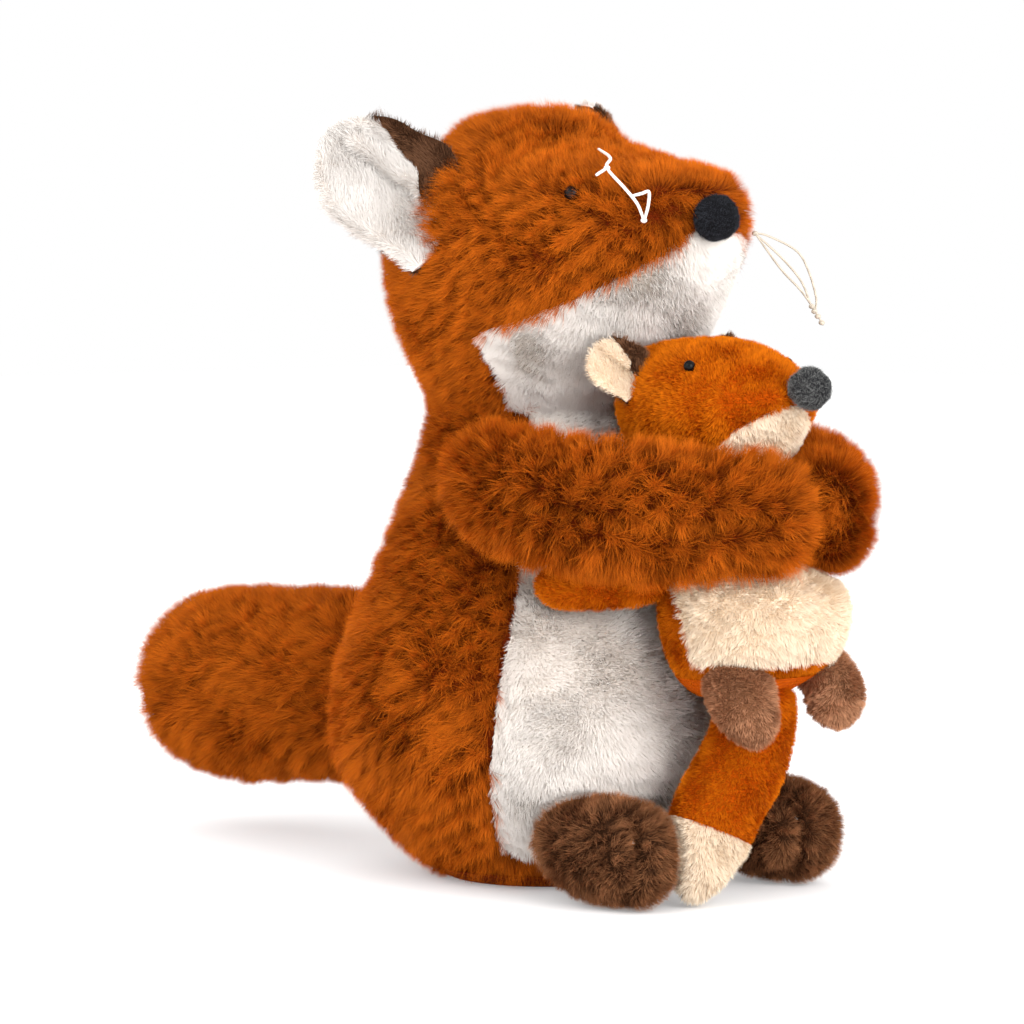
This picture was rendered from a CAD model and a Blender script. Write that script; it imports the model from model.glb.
"""A seated plush fox hugging a plush cub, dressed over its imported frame.

Every form is a function of two parameters, u from one end of a piece to the other and an
angle round it, worked out with numpy in millimetres and put into meshes in metres. The fox
faces -Y, its own right side lies on -X and the origin is the middle of its flat seat.
"""

import logging
import math
from dataclasses import dataclass, field, replace
from enum import Enum
from functools import cache
from typing import Callable, Sequence

import bpy
import numpy as np
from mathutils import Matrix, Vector


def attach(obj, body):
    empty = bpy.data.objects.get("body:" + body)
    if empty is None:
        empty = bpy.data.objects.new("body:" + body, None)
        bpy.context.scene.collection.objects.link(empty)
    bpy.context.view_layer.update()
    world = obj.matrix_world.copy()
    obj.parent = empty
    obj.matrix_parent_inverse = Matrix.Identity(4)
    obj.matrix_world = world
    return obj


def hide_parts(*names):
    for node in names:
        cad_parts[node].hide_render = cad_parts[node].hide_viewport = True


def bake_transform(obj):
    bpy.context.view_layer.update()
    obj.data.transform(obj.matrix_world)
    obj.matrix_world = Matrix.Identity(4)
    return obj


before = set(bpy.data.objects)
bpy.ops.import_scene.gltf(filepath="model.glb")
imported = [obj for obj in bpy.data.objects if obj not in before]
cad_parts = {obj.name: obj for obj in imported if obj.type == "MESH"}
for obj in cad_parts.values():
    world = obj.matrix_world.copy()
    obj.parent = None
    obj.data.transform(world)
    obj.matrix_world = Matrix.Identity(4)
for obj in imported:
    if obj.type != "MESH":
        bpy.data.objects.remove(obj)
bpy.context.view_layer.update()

log = logging.getLogger("plush_fox")

Array = np.ndarray
Colour = tuple[float, float, float]
MM = 0.001


# Curves and fields


def smooth(rows: Array, t: Array) -> Array:
    """Follow the cubic of Catmull and Rom through evenly spaced rows.

    Args:
        rows: One row of values for each knot.
        t: Places from 0 to 1.

    Returns:
        One row of values for each place.
    """
    last = len(rows) - 1
    knots = np.vstack([2 * rows[0] - rows[1], rows, 2 * rows[-1] - rows[-2]])
    place = np.clip(t, 0, 1) * last
    index = np.minimum(place.astype(int), last - 1)
    f = (place - index)[..., None]
    a, b, c, d = (knots[index + k] for k in range(4))
    return b + 0.5 * f * (c - a + f * (2 * a - 5 * b + 4 * c - d + f * (3 * (b - c) + d - a)))


def unit(vectors: Array) -> Array:
    """Give each vector the length 1."""
    return vectors / np.maximum(np.linalg.norm(vectors, axis=-1, keepdims=True), 1e-9)


def dot(a: Array, b: Array) -> Array:
    """Multiply vectors pair by pair, and keep the last axis."""
    return np.sum(a * b, axis=-1, keepdims=True)


def turned(angle: Array) -> Array:
    """Bring angles into the range from -pi to pi."""
    return (angle + math.pi) % (2 * math.pi) - math.pi


def ease(low: float, high: float, x: Array) -> Array:
    """Climb from 0 at low to 1 at high along a cubic."""
    t = np.clip((x - low) / (high - low), 0, 1)
    return t * t * (3 - 2 * t)


def bell(x: Array) -> Array:
    """Rise to 1 where x is 0, and fade to either side."""
    return np.exp(-(x**2))


class Ripple:
    """A soft uneven field: the mean of sine waves that run in all directions through space."""

    spread = 0.7, 1.4

    def __init__(self, size: float, seed: int, count: int = 14) -> None:
        """Choose the waves.

        Args:
            size: The mean distance between two crests, in millimetres.
            seed: The seed of its random numbers.
            count: How many waves are added.
        """
        rng = np.random.default_rng(seed)
        lengths = rng.uniform(*self.spread, (count, 1))
        self.waves = unit(rng.normal(size=(count, 3))) * lengths * 2 * math.pi / size
        self.phases = rng.uniform(0, 2 * math.pi, count)
        self.share = math.sqrt(2 / count)
        self.size = size

    def height(self, points: Array) -> Array:
        """Add up sin(wave . point + phase), to a field that spreads about 1 round 0."""
        return np.sin(points @ self.waves.T + self.phases).sum(-1) * self.share

    def slope(self, points: Array) -> Array:
        """Give the field's gradient, times the size over a whole turn."""
        turn = np.cos(points @ self.waves.T + self.phases)
        return turn @ self.waves * self.share * self.size / (2 * math.pi)


# Forms


@dataclass
class Grid:
    """Points over a form, row by row along u and column by column round it."""

    u: Array
    angle: Array
    points: Array
    normals: Array


class Form:
    """A soft form that place(u, angle) runs over."""

    end_look = 0.006
    small_turn = 0.002

    def place(self, u: Array, angle: Array) -> Array:
        """Give the form's points at u and angle."""
        raise NotImplementedError

    def gap(self, points: Array) -> Array:
        """Say roughly how far points lie outside the form, less than 0 inside."""
        raise NotImplementedError

    def outward(self, u: Array, angle: Array) -> Array:
        """Cross the step round the form with the step along it, both by differences."""
        middle = np.clip(u, self.end_look, 1 - self.end_look)
        d = self.small_turn
        climb = self.place(middle + d, angle) - self.place(middle - d, angle)
        turn = self.place(middle, angle + d) - self.place(middle, angle - d)
        return unit(np.cross(turn, climb))

    def grid(self, u: Array, angle: Array, inset: Array | float = 0.0) -> Grid:
        """Lay a grid over the form.

        Args:
            u: The rows' places along the form.
            angle: The columns' angles, or one row of angles for each place.
            inset: How deep the grid lies below the form, in millimetres.

        Returns:
            The grid, moved in along its normals.
        """
        angles = np.broadcast_to(angle, (len(u), np.shape(angle)[-1]))
        along = np.broadcast_to(np.asarray(u)[:, None], angles.shape)
        normals = self.outward(along, angles)
        depth = np.broadcast_to(inset, angles.shape)[..., None]
        return Grid(along, angles, self.place(along, angles) - normals * depth, normals)

    def spot(self, u: float, angle: float, lift: float = 0.0) -> Array:
        """Give one point that stands off the form by a lift."""
        return self.grid(np.array([u]), np.array([angle]), -lift).points[0, 0]


def twice_round(shares: Sequence[Sequence[float]]) -> Array:
    """Repeat a limb's last column, so that it gives both half sizes."""
    return np.array(shares, float)[:, [0, 1, 2, 3, 3]]


def scaled_rows(shares: Sequence[Sequence[float]], scale: object, start: object) -> Array:
    """Turn a table of shares into lengths: each column times its scale, from its start."""
    return np.array(shares, float) * scale + start


class StackForm(Form):
    """An upright form of level sections, each two half ellipses that meet where it is widest.

    A row is [height, half width, middle, front, back]. A point at an angle is
    (half width sin, middle - reach cos, height), where the reach is front + middle before
    the middle and back - middle behind it.
    """

    sections = 600
    flat_share = 0.06
    deepest = 14.0

    def __init__(self, rows: Sequence[Sequence[float]], flat: tuple[bool, bool]) -> None:
        """Keep the rows, which ends are cut flat, and a fine table of sections for gap."""
        self.rows = np.array(rows, float)
        self.flat = flat
        self.table = smooth(self.rows, np.linspace(0, 1, self.sections))

    def place(self, u: Array, angle: Array) -> Array:
        """See the class."""
        height, side, middle, front, back = np.moveaxis(smooth(self.rows, u), -1, 0)
        cosine = np.cos(angle)
        reach = np.where(cosine > 0, np.maximum(front + middle, 0), np.maximum(back - middle, 0))
        x = np.maximum(side, 0) * np.sin(angle)
        return np.stack([x, middle - reach * cosine, height + 0 * x], -1)

    def grid(self, u: Array, angle: Array, inset: Array | float = 0.0) -> Grid:
        """Lay the grid so that a flat end stays in its plane, however deep the grid lies."""
        grid = super().grid(u, angle, inset)
        free = np.ones_like(grid.u)
        if self.flat[0]:
            free = free * ease(0.0, self.flat_share, grid.u)
        if self.flat[1]:
            free = free * (1 - ease(1 - self.flat_share, 1.0, grid.u))
        height = self.place(grid.u, grid.angle)[..., 2]
        grid.points[..., 2] = height + (grid.points[..., 2] - height) * free
        return grid

    def step_at(self, height: float) -> float:
        """Find the u of a height."""
        return float(np.interp(height, self.table[:, 0], np.linspace(0, 1, len(self.table))))

    def section(self, points: Array) -> tuple[Array, Array, Array]:
        """Find the level section at each point.

        Args:
            points: Any points.

        Returns:
            The section's middle on Y, each point's distance from it, and the distance from
            it to the section's edge in the same direction.
        """
        x, y, z = np.moveaxis(points, -1, 0)
        side, middle, front, back = (
            np.interp(z, self.table[:, 0], self.table[:, k]) for k in range(1, 5)
        )
        reach = np.maximum(np.where(y < middle, front + middle, back - middle), 0.1)
        radius = np.hypot(x, y - middle)
        share = np.hypot(x / np.maximum(side, 0.1), (y - middle) / reach)
        return middle, radius, radius / np.maximum(share, 1e-6)

    def gap(self, points: Array) -> Array:
        """Measure level along the ray from the section's middle, and past the ends upright."""
        _, radius, edge = self.section(points)
        low, high = self.table[0, 0], self.table[-1, 0]
        beyond = np.maximum(points[..., 2] - high, low - points[..., 2])
        return np.maximum(radius - edge, beyond)

    def pushed(self, points: Array, margin: float) -> Array:
        """Move points that lie inside the form out to its surface.

        Args:
            points: Any points.
            margin: How far off the surface they come to lie.

        Returns:
            The points, moved level and away from the section's middle.
        """
        middle, radius, edge = self.section(points)
        gap = self.gap(points)
        inside = (gap < margin) & (gap > -self.deepest)
        scale = np.where(inside, (edge + margin) / np.maximum(radius, 1e-6), 1.0)
        moved = points.copy()
        moved[..., 0] *= scale
        moved[..., 1] = middle + (points[..., 1] - middle) * scale
        return moved


class LimbForm(Form):
    """A limb along a curve, with round ends.

    A row is [x, y, z, half width, half height]. A point is the centre plus
    side (half width sin) plus face (half height cos), both scaled towards the ends by
    sqrt(1 - (1 - d)^2), where d is the distance from the end over the end's share.
    """

    look = 0.02
    block = 20_000

    def __init__(
        self,
        rows: Sequence[Sequence[float]],
        ends: tuple[float, float],
        level: tuple[float, float, float] = (0.0, 0.0, 1.0),
    ) -> None:
        """Keep the rows and a table of centres for gap."""
        self.rows = np.array(rows, float)
        self.ends = ends
        self.level = np.array(level)
        self.stations = np.linspace(0.01, 0.99, 60)
        self.frames = self.frame_at(self.stations)

    def frame_at(self, u: Array) -> tuple[Array, Array, Array, Array, Array]:
        """Give the centre, the side and face directions, and both half sizes at u."""
        values = smooth(self.rows, u)
        ahead = smooth(self.rows, np.minimum(u + self.look, 1))[..., :3]
        behind = smooth(self.rows, np.maximum(u - self.look, 0))[..., :3]
        direction = unit(ahead - behind)
        side = unit(np.cross(direction, self.level))
        start, end = (
            np.sqrt(np.maximum(1 - (1 - np.minimum(d, 1)) ** 2, 0))
            for d in (u / self.ends[0], (1 - u) / self.ends[1])
        )
        half = values[..., 3:5] * (start * end)[..., None]
        return values[..., :3], side, np.cross(side, direction), half[..., 0], half[..., 1]

    def place(self, u: Array, angle: Array) -> Array:
        """See the class."""
        centre, side, face, wide, high = self.frame_at(np.clip(u, 0, 1))
        across = (wide * np.sin(angle))[..., None]
        upright = (high * np.cos(angle))[..., None]
        return centre + side * across + face * upright

    def gap(self, points: Array) -> Array:
        """Measure from the nearest centre, along the ray to the ellipse round it."""
        flat = points.reshape(-1, 3)
        centres, sides, faces, wides, highs = self.frames
        result = np.empty(len(flat))
        for start in range(0, len(flat), self.block):
            block = flat[start : start + self.block]
            away = ((block[:, None] - centres[None]) ** 2).sum(-1)
            k = away.argmin(1)
            offset = block - centres[k]
            radius = np.sqrt(away[np.arange(len(block)), k])
            across = (offset * sides[k]).sum(-1) / np.maximum(wides[k], 0.1)
            upright = (offset * faces[k]).sum(-1) / np.maximum(highs[k], 0.1)
            share = np.maximum(np.hypot(across, upright), 1e-3)
            level = np.hypot(across * wides[k], upright * highs[k])
            ends = (k == 0) | (k == len(centres) - 1)
            result[start : start + self.block] = np.where(ends, radius, level - level / share)
        return result.reshape(points.shape[:-1])


class Mirrored(Form):
    """The same form on the other side of the toy."""

    flip = np.array([-1.0, 1.0, 1.0])

    def __init__(self, other: Form) -> None:
        """Keep the form that is mirrored."""
        self.other = other

    def place(self, u: Array, angle: Array) -> Array:
        """Turn the other way round and change the side."""
        return self.other.place(u, -np.asarray(angle)) * self.flip

    def gap(self, points: Array) -> Array:
        """Measure on the other side."""
        return self.other.gap(points * self.flip)


class Leaf(Form):
    """A folded leaf for an ear: u runs from its root to its tip, and angle from -1 to 1 across.

    A point is root + u length direction + across (angle half width smooth(u) tip + brow)
    + forwards (cup (angle tip)^2 + relief), where tip closes the leaf along a quarter
    circle, the brow widens its upper edge near the root, and the relief is a slit with a
    soft ridge above it and a back that slopes away.
    """

    tip_share = 0.45
    widths = np.array([[0.72], [0.86], [0.97], [1.0], [0.95], [0.8]])
    brow_spread = 0.3
    slit_width = 0.05
    ridge_aside = 0.2
    ridge_width = 0.13
    ridge_share = 0.35
    back_share = 0.6
    slit_shares = np.array([[0, 0.5], [0.23, 0.29], [0.44, 0.13], [0.64, 0.075], [1, 0.02]])
    back_shares = np.array([[0, 0.36], [0.23, 0.44], [0.55, 0.64], [0.84, 0.9], [1, 1.1]])

    def __init__(
        self,
        root: Array,
        size: tuple[float, float],
        cup: float,
        fold: float,
        direction: Array,
        facing: Array,
    ) -> None:
        """Set the leaf up.

        Args:
            root: Where it starts, in millimetres.
            size: Its length and width.
            cup: How far its edges bend forwards.
            fold: How deep its slit is.
            direction: The way from the root to the tip.
            facing: The way that its front looks.
        """
        self.root = root
        self.length, self.width = size
        self.cup = cup
        self.fold = fold
        self.direction = unit(direction)
        self.across = unit(np.cross(self.direction, facing))
        self.forwards = np.cross(self.across, self.direction)

    def slit(self, u: Array) -> Array:
        """Where the slit runs across the leaf."""
        return np.interp(u, self.slit_shares[:, 0], self.slit_shares[:, 1])

    def edge(self, u: Array) -> Array:
        """Where the pale front ends and the brown back shows."""
        return np.interp(u, self.back_shares[:, 0], self.back_shares[:, 1])

    def place(self, u: Array, angle: Array) -> Array:
        """See the class."""
        run = np.clip((u - 1 + self.tip_share) / self.tip_share, 0, 1)
        tip = np.sqrt(np.maximum(1 - run**2, 0))
        half = self.width / 2 * smooth(self.widths, u)[..., 0] * tip
        brow = self.brow_spread * half * ease(0.45, 1.0, angle) * (1 - ease(0.3, 0.62, u))
        along = 1 - ease(0.78, 0.92, u)
        aside = angle - self.slit(u)
        dip = bell(aside / self.slit_width) * along
        ridge = bell((aside - self.ridge_aside) / self.ridge_width) * along
        away = ease(0.0, 0.5, angle - self.edge(u))
        relief = self.fold * (self.ridge_share * ridge - dip - self.back_share * away)
        bend = self.cup * (angle * tip) ** 2 + relief
        return (
            self.root
            + (u * self.length)[..., None] * self.direction
            + (angle * half + brow)[..., None] * self.across
            + bend[..., None] * self.forwards
        )


# Meshes


@dataclass
class Surface:
    """Corners in millimetres, and faces by four or by three corners."""

    corners: Array
    quads: Array = field(default_factory=lambda: np.zeros((0, 4), int))
    triangles: Array = field(default_factory=lambda: np.zeros((0, 3), int))


def quads_between(rows: int, columns: int, wraps: bool) -> Array:
    """Join a grid's neighbouring points by quads that face along turn x climb.

    Args:
        rows: How many rows the grid has.
        columns: How many columns it has.
        wraps: Whether the last column joins the first.

    Returns:
        The quads' corner numbers.
    """
    number = np.arange(rows * columns).reshape(rows, columns)
    if wraps:
        number = np.hstack([number, number[:, :1]])
    a, b = number[:-1, :-1], number[:-1, 1:]
    c, d = number[1:, 1:], number[1:, :-1]
    return np.stack([a, b, c, d], -1).reshape(-1, 4)


def closed_tube(points: Array) -> Surface:
    """Close rings of points with a fan at each end, round the ring's middle."""
    rows, columns, _ = points.shape
    column = np.arange(columns)
    following = np.roll(column, -1)
    first, last, top = rows * columns, rows * columns + 1, (rows - 1) * columns
    low = np.stack([np.full(columns, first), following, column], -1)
    high = np.stack([np.full(columns, last), column + top, following + top], -1)
    corners = np.vstack([points.reshape(-1, 3), points[0].mean(0), points[-1].mean(0)])
    return Surface(corners, quads_between(rows, columns, True), np.vstack([low, high]))


def plate(outer: Array, inner: Array) -> Surface:
    """Close two grids of the same shape into a thick sheet with four side walls."""
    rows, columns, _ = outer.shape
    count = rows * columns
    top = quads_between(rows, columns, False)
    number = np.arange(count).reshape(rows, columns)
    walls = []
    for edge in (number[0], number[:, -1], number[-1, ::-1], number[::-1, 0]):
        walls.append(np.stack([edge[1:], edge[:-1], edge[:-1] + count, edge[1:] + count], -1))
    quads = np.vstack([top, top[:, ::-1] + count, *walls])
    return Surface(np.vstack([outer.reshape(-1, 3), inner.reshape(-1, 3)]), quads)


def make_object(name: str, surface: Surface, is_smooth: bool = True) -> bpy.types.Object:
    """Put a surface into a mesh object at the origin.

    Args:
        name: The piece's name.
        surface: What it is made of, in millimetres.
        is_smooth: Whether its faces are shaded smooth.

    Returns:
        The object, linked to the scene.
    """
    quads, triangles = surface.quads, surface.triangles
    loops = np.concatenate([quads.ravel(), triangles.ravel()]).astype(np.int32)
    totals = np.concatenate([np.full(len(quads), 4), np.full(len(triangles), 3)])
    starts = np.concatenate([[0], np.cumsum(totals)[:-1]])
    mesh = bpy.data.meshes.new(name)
    mesh.vertices.add(len(surface.corners))
    mesh.vertices.foreach_set("co", (surface.corners * MM).astype(np.float32).ravel())
    mesh.loops.add(len(loops))
    mesh.loops.foreach_set("vertex_index", loops)
    mesh.polygons.add(len(totals))
    mesh.polygons.foreach_set("loop_start", starts.astype(np.int32))
    mesh.polygons.foreach_set("loop_total", totals.astype(np.int32))
    mesh.polygons.foreach_set("use_smooth", np.full(len(totals), is_smooth))
    mesh.update(calc_edges=True)
    piece = bpy.data.objects.new(name, mesh)
    bpy.context.scene.collection.objects.link(piece)
    return piece


# Shader maths


class Socket:
    """An output of a shader node, on which sums are written as Python expressions."""

    def __init__(self, graph: "Graph", link: bpy.types.NodeSocket) -> None:
        """Keep the output and the graph that it is in."""
        self.graph = graph
        self.link = link

    def maths(self, operation: str, first: object, second: object) -> "Socket":
        """Add one Math node.

        Args:
            operation: The node's operation.
            first: Its first value.
            second: Its second value.

        Returns:
            The node's output.
        """
        settings = {"operation": operation}
        return self.graph.node("ShaderNodeMath", settings, {0: first, 1: second})

    def __add__(self, other: object) -> "Socket":
        """Add."""
        return self.maths("ADD", self, other)

    def __sub__(self, other: object) -> "Socket":
        """Take away."""
        return self.maths("SUBTRACT", self, other)

    def __rsub__(self, other: object) -> "Socket":
        """Take away from a number."""
        return self.maths("SUBTRACT", other, self)

    def __mul__(self, other: object) -> "Socket":
        """Multiply."""
        return self.maths("MULTIPLY", self, other)

    def __pow__(self, other: object) -> "Socket":
        """Raise to a power."""
        return self.maths("POWER", self, other)


class Graph:
    """The nodes of one material or of the world."""

    def __init__(self, tree: bpy.types.NodeTree) -> None:
        """Start with an empty tree."""
        self.tree = tree
        tree.nodes.clear()

    def node(
        self, kind: str, settings: dict[str, object], inputs: dict[object, object], output: object = 0
    ) -> Socket:
        """Add a node of any kind.

        Args:
            kind: The node's type.
            settings: Its own settings, set first.
            inputs: The values or links of its sockets, by name or number.
            output: The name or number of the output that is given back.

        Returns:
            The output.
        """
        node = self.tree.nodes.new(kind)
        for key, value in settings.items():
            setattr(node, key, value)
        for key, value in inputs.items():
            if isinstance(value, Socket):
                self.tree.links.new(value.link, node.inputs[key])
            elif isinstance(value, tuple) and len(value) == 3 and node.inputs[key].type == "RGBA":
                node.inputs[key].default_value = (*value, 1.0)
            else:
                node.inputs[key].default_value = value
        return Socket(self, node.outputs[output])

    def mix(self, share: object, first: object, second: object) -> Socket:
        """Blend two colours by a share."""
        settings = {"data_type": "RGBA", "clamp_factor": True}
        return self.node("ShaderNodeMix", settings, {0: share, 6: first, 7: second}, 2)

    def scaled(self, colour: object, factor: object) -> Socket:
        """Make a colour lighter or darker by a factor."""
        return self.node("ShaderNodeVectorMath", {"operation": "SCALE"}, {0: colour, "Scale": factor})

    def place(self) -> Socket:
        """Give the place on the object, in metres."""
        return self.node("ShaderNodeTexCoord", {}, {}, "Object")

    def noise(self, size: float, detail: float = 2.0, stretch: tuple[float, ...] = (1, 1, 1)) -> Socket:
        """Add an uneven field on the object's own place.

        Args:
            size: About how wide its patches are, in millimetres.
            detail: How many finer layers it has.
            stretch: How its patches are squeezed along X, Y and Z.

        Returns:
            A number from 0 to 1.
        """
        place = self.node("ShaderNodeMapping", {}, {"Vector": self.place(), "Scale": stretch})
        inputs = {"Vector": place, "Scale": 1 / (size * MM), "Detail": detail}
        return self.node("ShaderNodeTexNoise", {}, inputs, "Fac")

    def attribute(self, name: str) -> Socket:
        """Read one of the mesh's own numbers."""
        return self.node("ShaderNodeAttribute", {"attribute_name": name}, {}, "Fac")

    def bump(self, height: Socket, depth: float, strength: float = 1.0) -> Socket:
        """Turn a height field into a bend of the normal, depth in millimetres."""
        inputs = {"Height": height, "Distance": depth * MM, "Strength": strength}
        return self.node("ShaderNodeBump", {}, inputs, "Normal")

    def surface(self, **inputs: object) -> None:
        """End in a Principled shader with these inputs, underscores standing for spaces."""
        named = {key.replace("_", " "): value for key, value in inputs.items()}
        shader = self.node("ShaderNodeBsdfPrincipled", {}, named)
        output = self.tree.nodes.new("ShaderNodeOutputMaterial")
        self.tree.links.new(shader.link, output.inputs["Surface"])


# Finishes


def srgb(red: int, green: int, blue: int) -> Colour:
    """Turn a colour as a screen shows it into linear light."""
    shares = [value / 255 for value in (red, green, blue)]
    return tuple(s / 12.92 if s <= 0.04045 else ((s + 0.055) / 1.055) ** 2.4 for s in shares)


class Finish:
    """A finish that makes its material once and names its slot in the record."""

    name: str
    slot: str

    def paint(self, graph: Graph) -> None:
        """Build the nodes."""
        raise NotImplementedError

    @cache
    def material(self) -> bpy.types.Material:
        """Make the material on first use, and give the same one from then on."""
        made = bpy.data.materials.new(self.name)
        made.use_nodes = True
        self.paint(Graph(made.node_tree))
        return made


@dataclass(frozen=True)
class PileFinish(Finish):
    """Fur strands: dark at the root, light at the tip, each a little different."""

    name: str
    slot: str
    root: Colour
    tip: Colour
    spread: float = 0.75
    patches: float = 0.14
    gloss: float = 0.06

    def paint(self, graph: Graph) -> None:
        """Mix root and tip along the strand, then scale by the strand's own tone."""
        run = graph.attribute("run")
        tone = graph.attribute("tone")
        colour = graph.mix(run**0.8, self.root, self.tip)
        patch = graph.noise(26.0) * (2 * self.patches) + (1 - self.patches)
        factor = (tone * self.spread + (1 - self.spread / 2)) * patch
        graph.surface(
            Base_Color=graph.scaled(colour, factor),
            Roughness=graph.noise(9.0) * 0.2 + 0.68,
            Specular_IOR_Level=self.gloss,
        )


@dataclass(frozen=True)
class BackingFinish(Finish):
    """The knitted backing cloth that the pile stands on."""

    name: str
    slot: str
    colour: Colour

    def paint(self, graph: Graph) -> None:
        """Crossed rows of loops raise the cloth, and uneven dye varies it."""
        place = graph.place()
        settings = {"wave_type": "BANDS", "bands_direction": "DIAGONAL"}
        loops = graph.node("ShaderNodeTexWave", settings, {"Vector": place, "Scale": 260.0}, "Fac")
        rows = graph.node(
            "ShaderNodeTexWave",
            {"wave_type": "BANDS", "bands_direction": "Z"},
            {"Vector": place, "Scale": 300.0, "Distortion": 1.5},
            "Fac",
        )
        height = loops * rows
        graph.surface(
            Base_Color=graph.scaled(self.colour, graph.noise(6.0) * 0.4 + height * 0.2 + 0.7),
            Roughness=graph.noise(4.0) * 0.15 + 0.8,
            Normal=graph.bump(height, 0.3),
            Specular_IOR_Level=0.05,
        )


@dataclass(frozen=True)
class FeltFinish(Finish):
    """Needled wool felt: matted fibres with pale hairs and pits."""

    name: str
    slot: str
    colour: Colour
    hair: Colour

    def paint(self, graph: Graph) -> None:
        """Fine hairs lie over uneven pits."""
        pits = graph.noise(2.2, 4.0)
        hairs = graph.noise(0.7, 3.0, (1.0, 3.0, 1.6))
        shade = graph.mix((hairs - 0.52) * 5.0, self.colour, self.hair)
        graph.surface(
            Base_Color=graph.scaled(shade, pits * 0.9 + 0.5),
            Roughness=hairs * 0.2 + 0.75,
            Normal=graph.bump(pits * 0.7 + hairs * 0.3, 0.7),
            Specular_IOR_Level=0.08,
        )


@dataclass(frozen=True)
class BeadFinish(Finish):
    """A moulded glossy bead."""

    name: str
    slot: str
    colour: Colour

    def paint(self, graph: Graph) -> None:
        """Faint handling marks vary the gloss."""
        marks = graph.noise(1.5, 3.0)
        graph.surface(
            Base_Color=graph.scaled(self.colour, marks * 0.3 + 0.85),
            Roughness=marks * 0.12 + 0.14,
            Normal=graph.bump(marks, 0.02),
            Specular_IOR_Level=0.15,
        )


@dataclass(frozen=True)
class ThreadFinish(Finish):
    """Twisted thread whose plies climb round it."""

    name: str
    slot: str
    colour: Colour

    def paint(self, graph: Graph) -> None:
        """Slanting bands stand for the plies."""
        settings = {"wave_type": "BANDS", "bands_direction": "DIAGONAL"}
        plies = graph.node(
            "ShaderNodeTexWave", settings, {"Vector": graph.place(), "Scale": 420.0}, "Fac"
        )
        graph.surface(
            Base_Color=graph.scaled(self.colour, plies * 0.25 + 0.78),
            Roughness=plies * 0.1 + 0.55,
            Normal=graph.bump(plies, 0.12),
            Sheen_Weight=0.2,
        )


@dataclass(frozen=True)
class StuffingFinish(Finish):
    """Loose fibre, or a sack whose pellets press through its cloth."""

    name: str
    slot: str
    colour: Colour
    lump: float

    def paint(self, graph: Graph) -> None:
        """Round lumps rise over a fine tangle."""
        settings = {"feature": "SMOOTH_F1"}
        inputs = {"Vector": graph.place(), "Scale": 1 / (self.lump * MM)}
        lumps = graph.node("ShaderNodeTexVoronoi", settings, inputs, "Distance")
        tangle = graph.noise(1.2, 4.0)
        graph.surface(
            Base_Color=graph.scaled(self.colour, tangle * 0.3 + (0.95 - lumps * 0.3)),
            Roughness=tangle * 0.15 + 0.8,
            Normal=graph.bump(tangle * 0.3 - lumps, 0.6),
        )


RUST = PileFinish("rust_fur", "rust_plush", srgb(98, 32, 3), srgb(202, 102, 18))
WHITE = PileFinish("white_fur", "white_plush", srgb(250, 241, 232), srgb(253, 247, 241), 0.05, 0.02)
EAR_WHITE = PileFinish("ear_white_fur", "white_plush", srgb(240, 234, 229), srgb(243, 239, 235), 0.05, 0.02)
BROWN = PileFinish("brown_fur", "brown_plush", srgb(70, 42, 25), srgb(172, 116, 78), 0.7, 0.12)
UMBER = PileFinish("umber_fur", "brown_plush", srgb(66, 42, 28), srgb(132, 92, 66), 0.5, 0.12)
ORANGE = PileFinish("orange_pile", "orange_minky", srgb(170, 70, 2), srgb(216, 116, 8), 0.3, 0.1)
CREAM = PileFinish("cream_pile", "cream_minky", srgb(236, 212, 184), srgb(253, 238, 216), 0.12, 0.03)
TAN = PileFinish("tan_pile", "tan_minky", srgb(144, 98, 70), srgb(206, 150, 112), 0.35, 0.1)
RUST_CLOTH = BackingFinish("rust_backing", "rust_plush", srgb(112, 38, 6))
WHITE_CLOTH = BackingFinish("white_backing", "white_plush", srgb(250, 240, 232))
BROWN_CLOTH = BackingFinish("brown_backing", "brown_plush", srgb(70, 44, 28))
ORANGE_CLOTH = BackingFinish("orange_backing", "orange_minky", srgb(196, 84, 4))
CREAM_CLOTH = BackingFinish("cream_backing", "cream_minky", srgb(244, 226, 202))
TAN_CLOTH = BackingFinish("tan_backing", "tan_minky", srgb(136, 92, 64))
BLACK_FELT = FeltFinish("felted_black", "black_felt", srgb(15, 15, 18), srgb(38, 39, 44))
BLACK_HAIR = PileFinish("black_felt_hair", "black_felt", srgb(15, 15, 18), srgb(58, 60, 66), 1.0)
GREY_FELT = FeltFinish("felted_grey", "grey_felt", srgb(32, 32, 34), srgb(80, 80, 79))
GREY_HAIR = PileFinish("grey_felt_hair", "grey_felt", srgb(40, 40, 42), srgb(132, 132, 130), 1.0)
EYE_BEAD = BeadFinish("dark_bead", "eye_bead", srgb(10, 9, 9))
WHITE_THREAD = ThreadFinish("white_thread", "thread", srgb(250, 246, 240))
PALE_THREAD = ThreadFinish("pale_thread", "thread", srgb(206, 194, 176))
FIBRE = StuffingFinish("fibre_filling", "wadding", srgb(240, 240, 237), 9.0)
PELLETS = StuffingFinish("pellet_cloth", "bean_bag", srgb(214, 206, 190), 3.5)


# Pile


class Lay(Enum):
    """Which way a pile is brushed."""

    DOWN = (0.0, 0.0, -1.0)
    BACK = (0.0, 1.0, -0.35)
    FORWARD = (0.0, -1.0, -0.1)
    ALONG = None


@dataclass(frozen=True)
class Pile:
    """How a pile grows, in millimetres and strands for each square millimetre."""

    finish: PileFinish
    length: float
    density: float
    width: float
    lay: Lay = Lay.DOWN
    rise: float = 0.74
    sway: float = 0.35
    gather: float = 0.4
    clump: float = 4.2
    scatter: float = 0.2
    turns_at: float = 2.0
    is_velvet: bool = False


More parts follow.
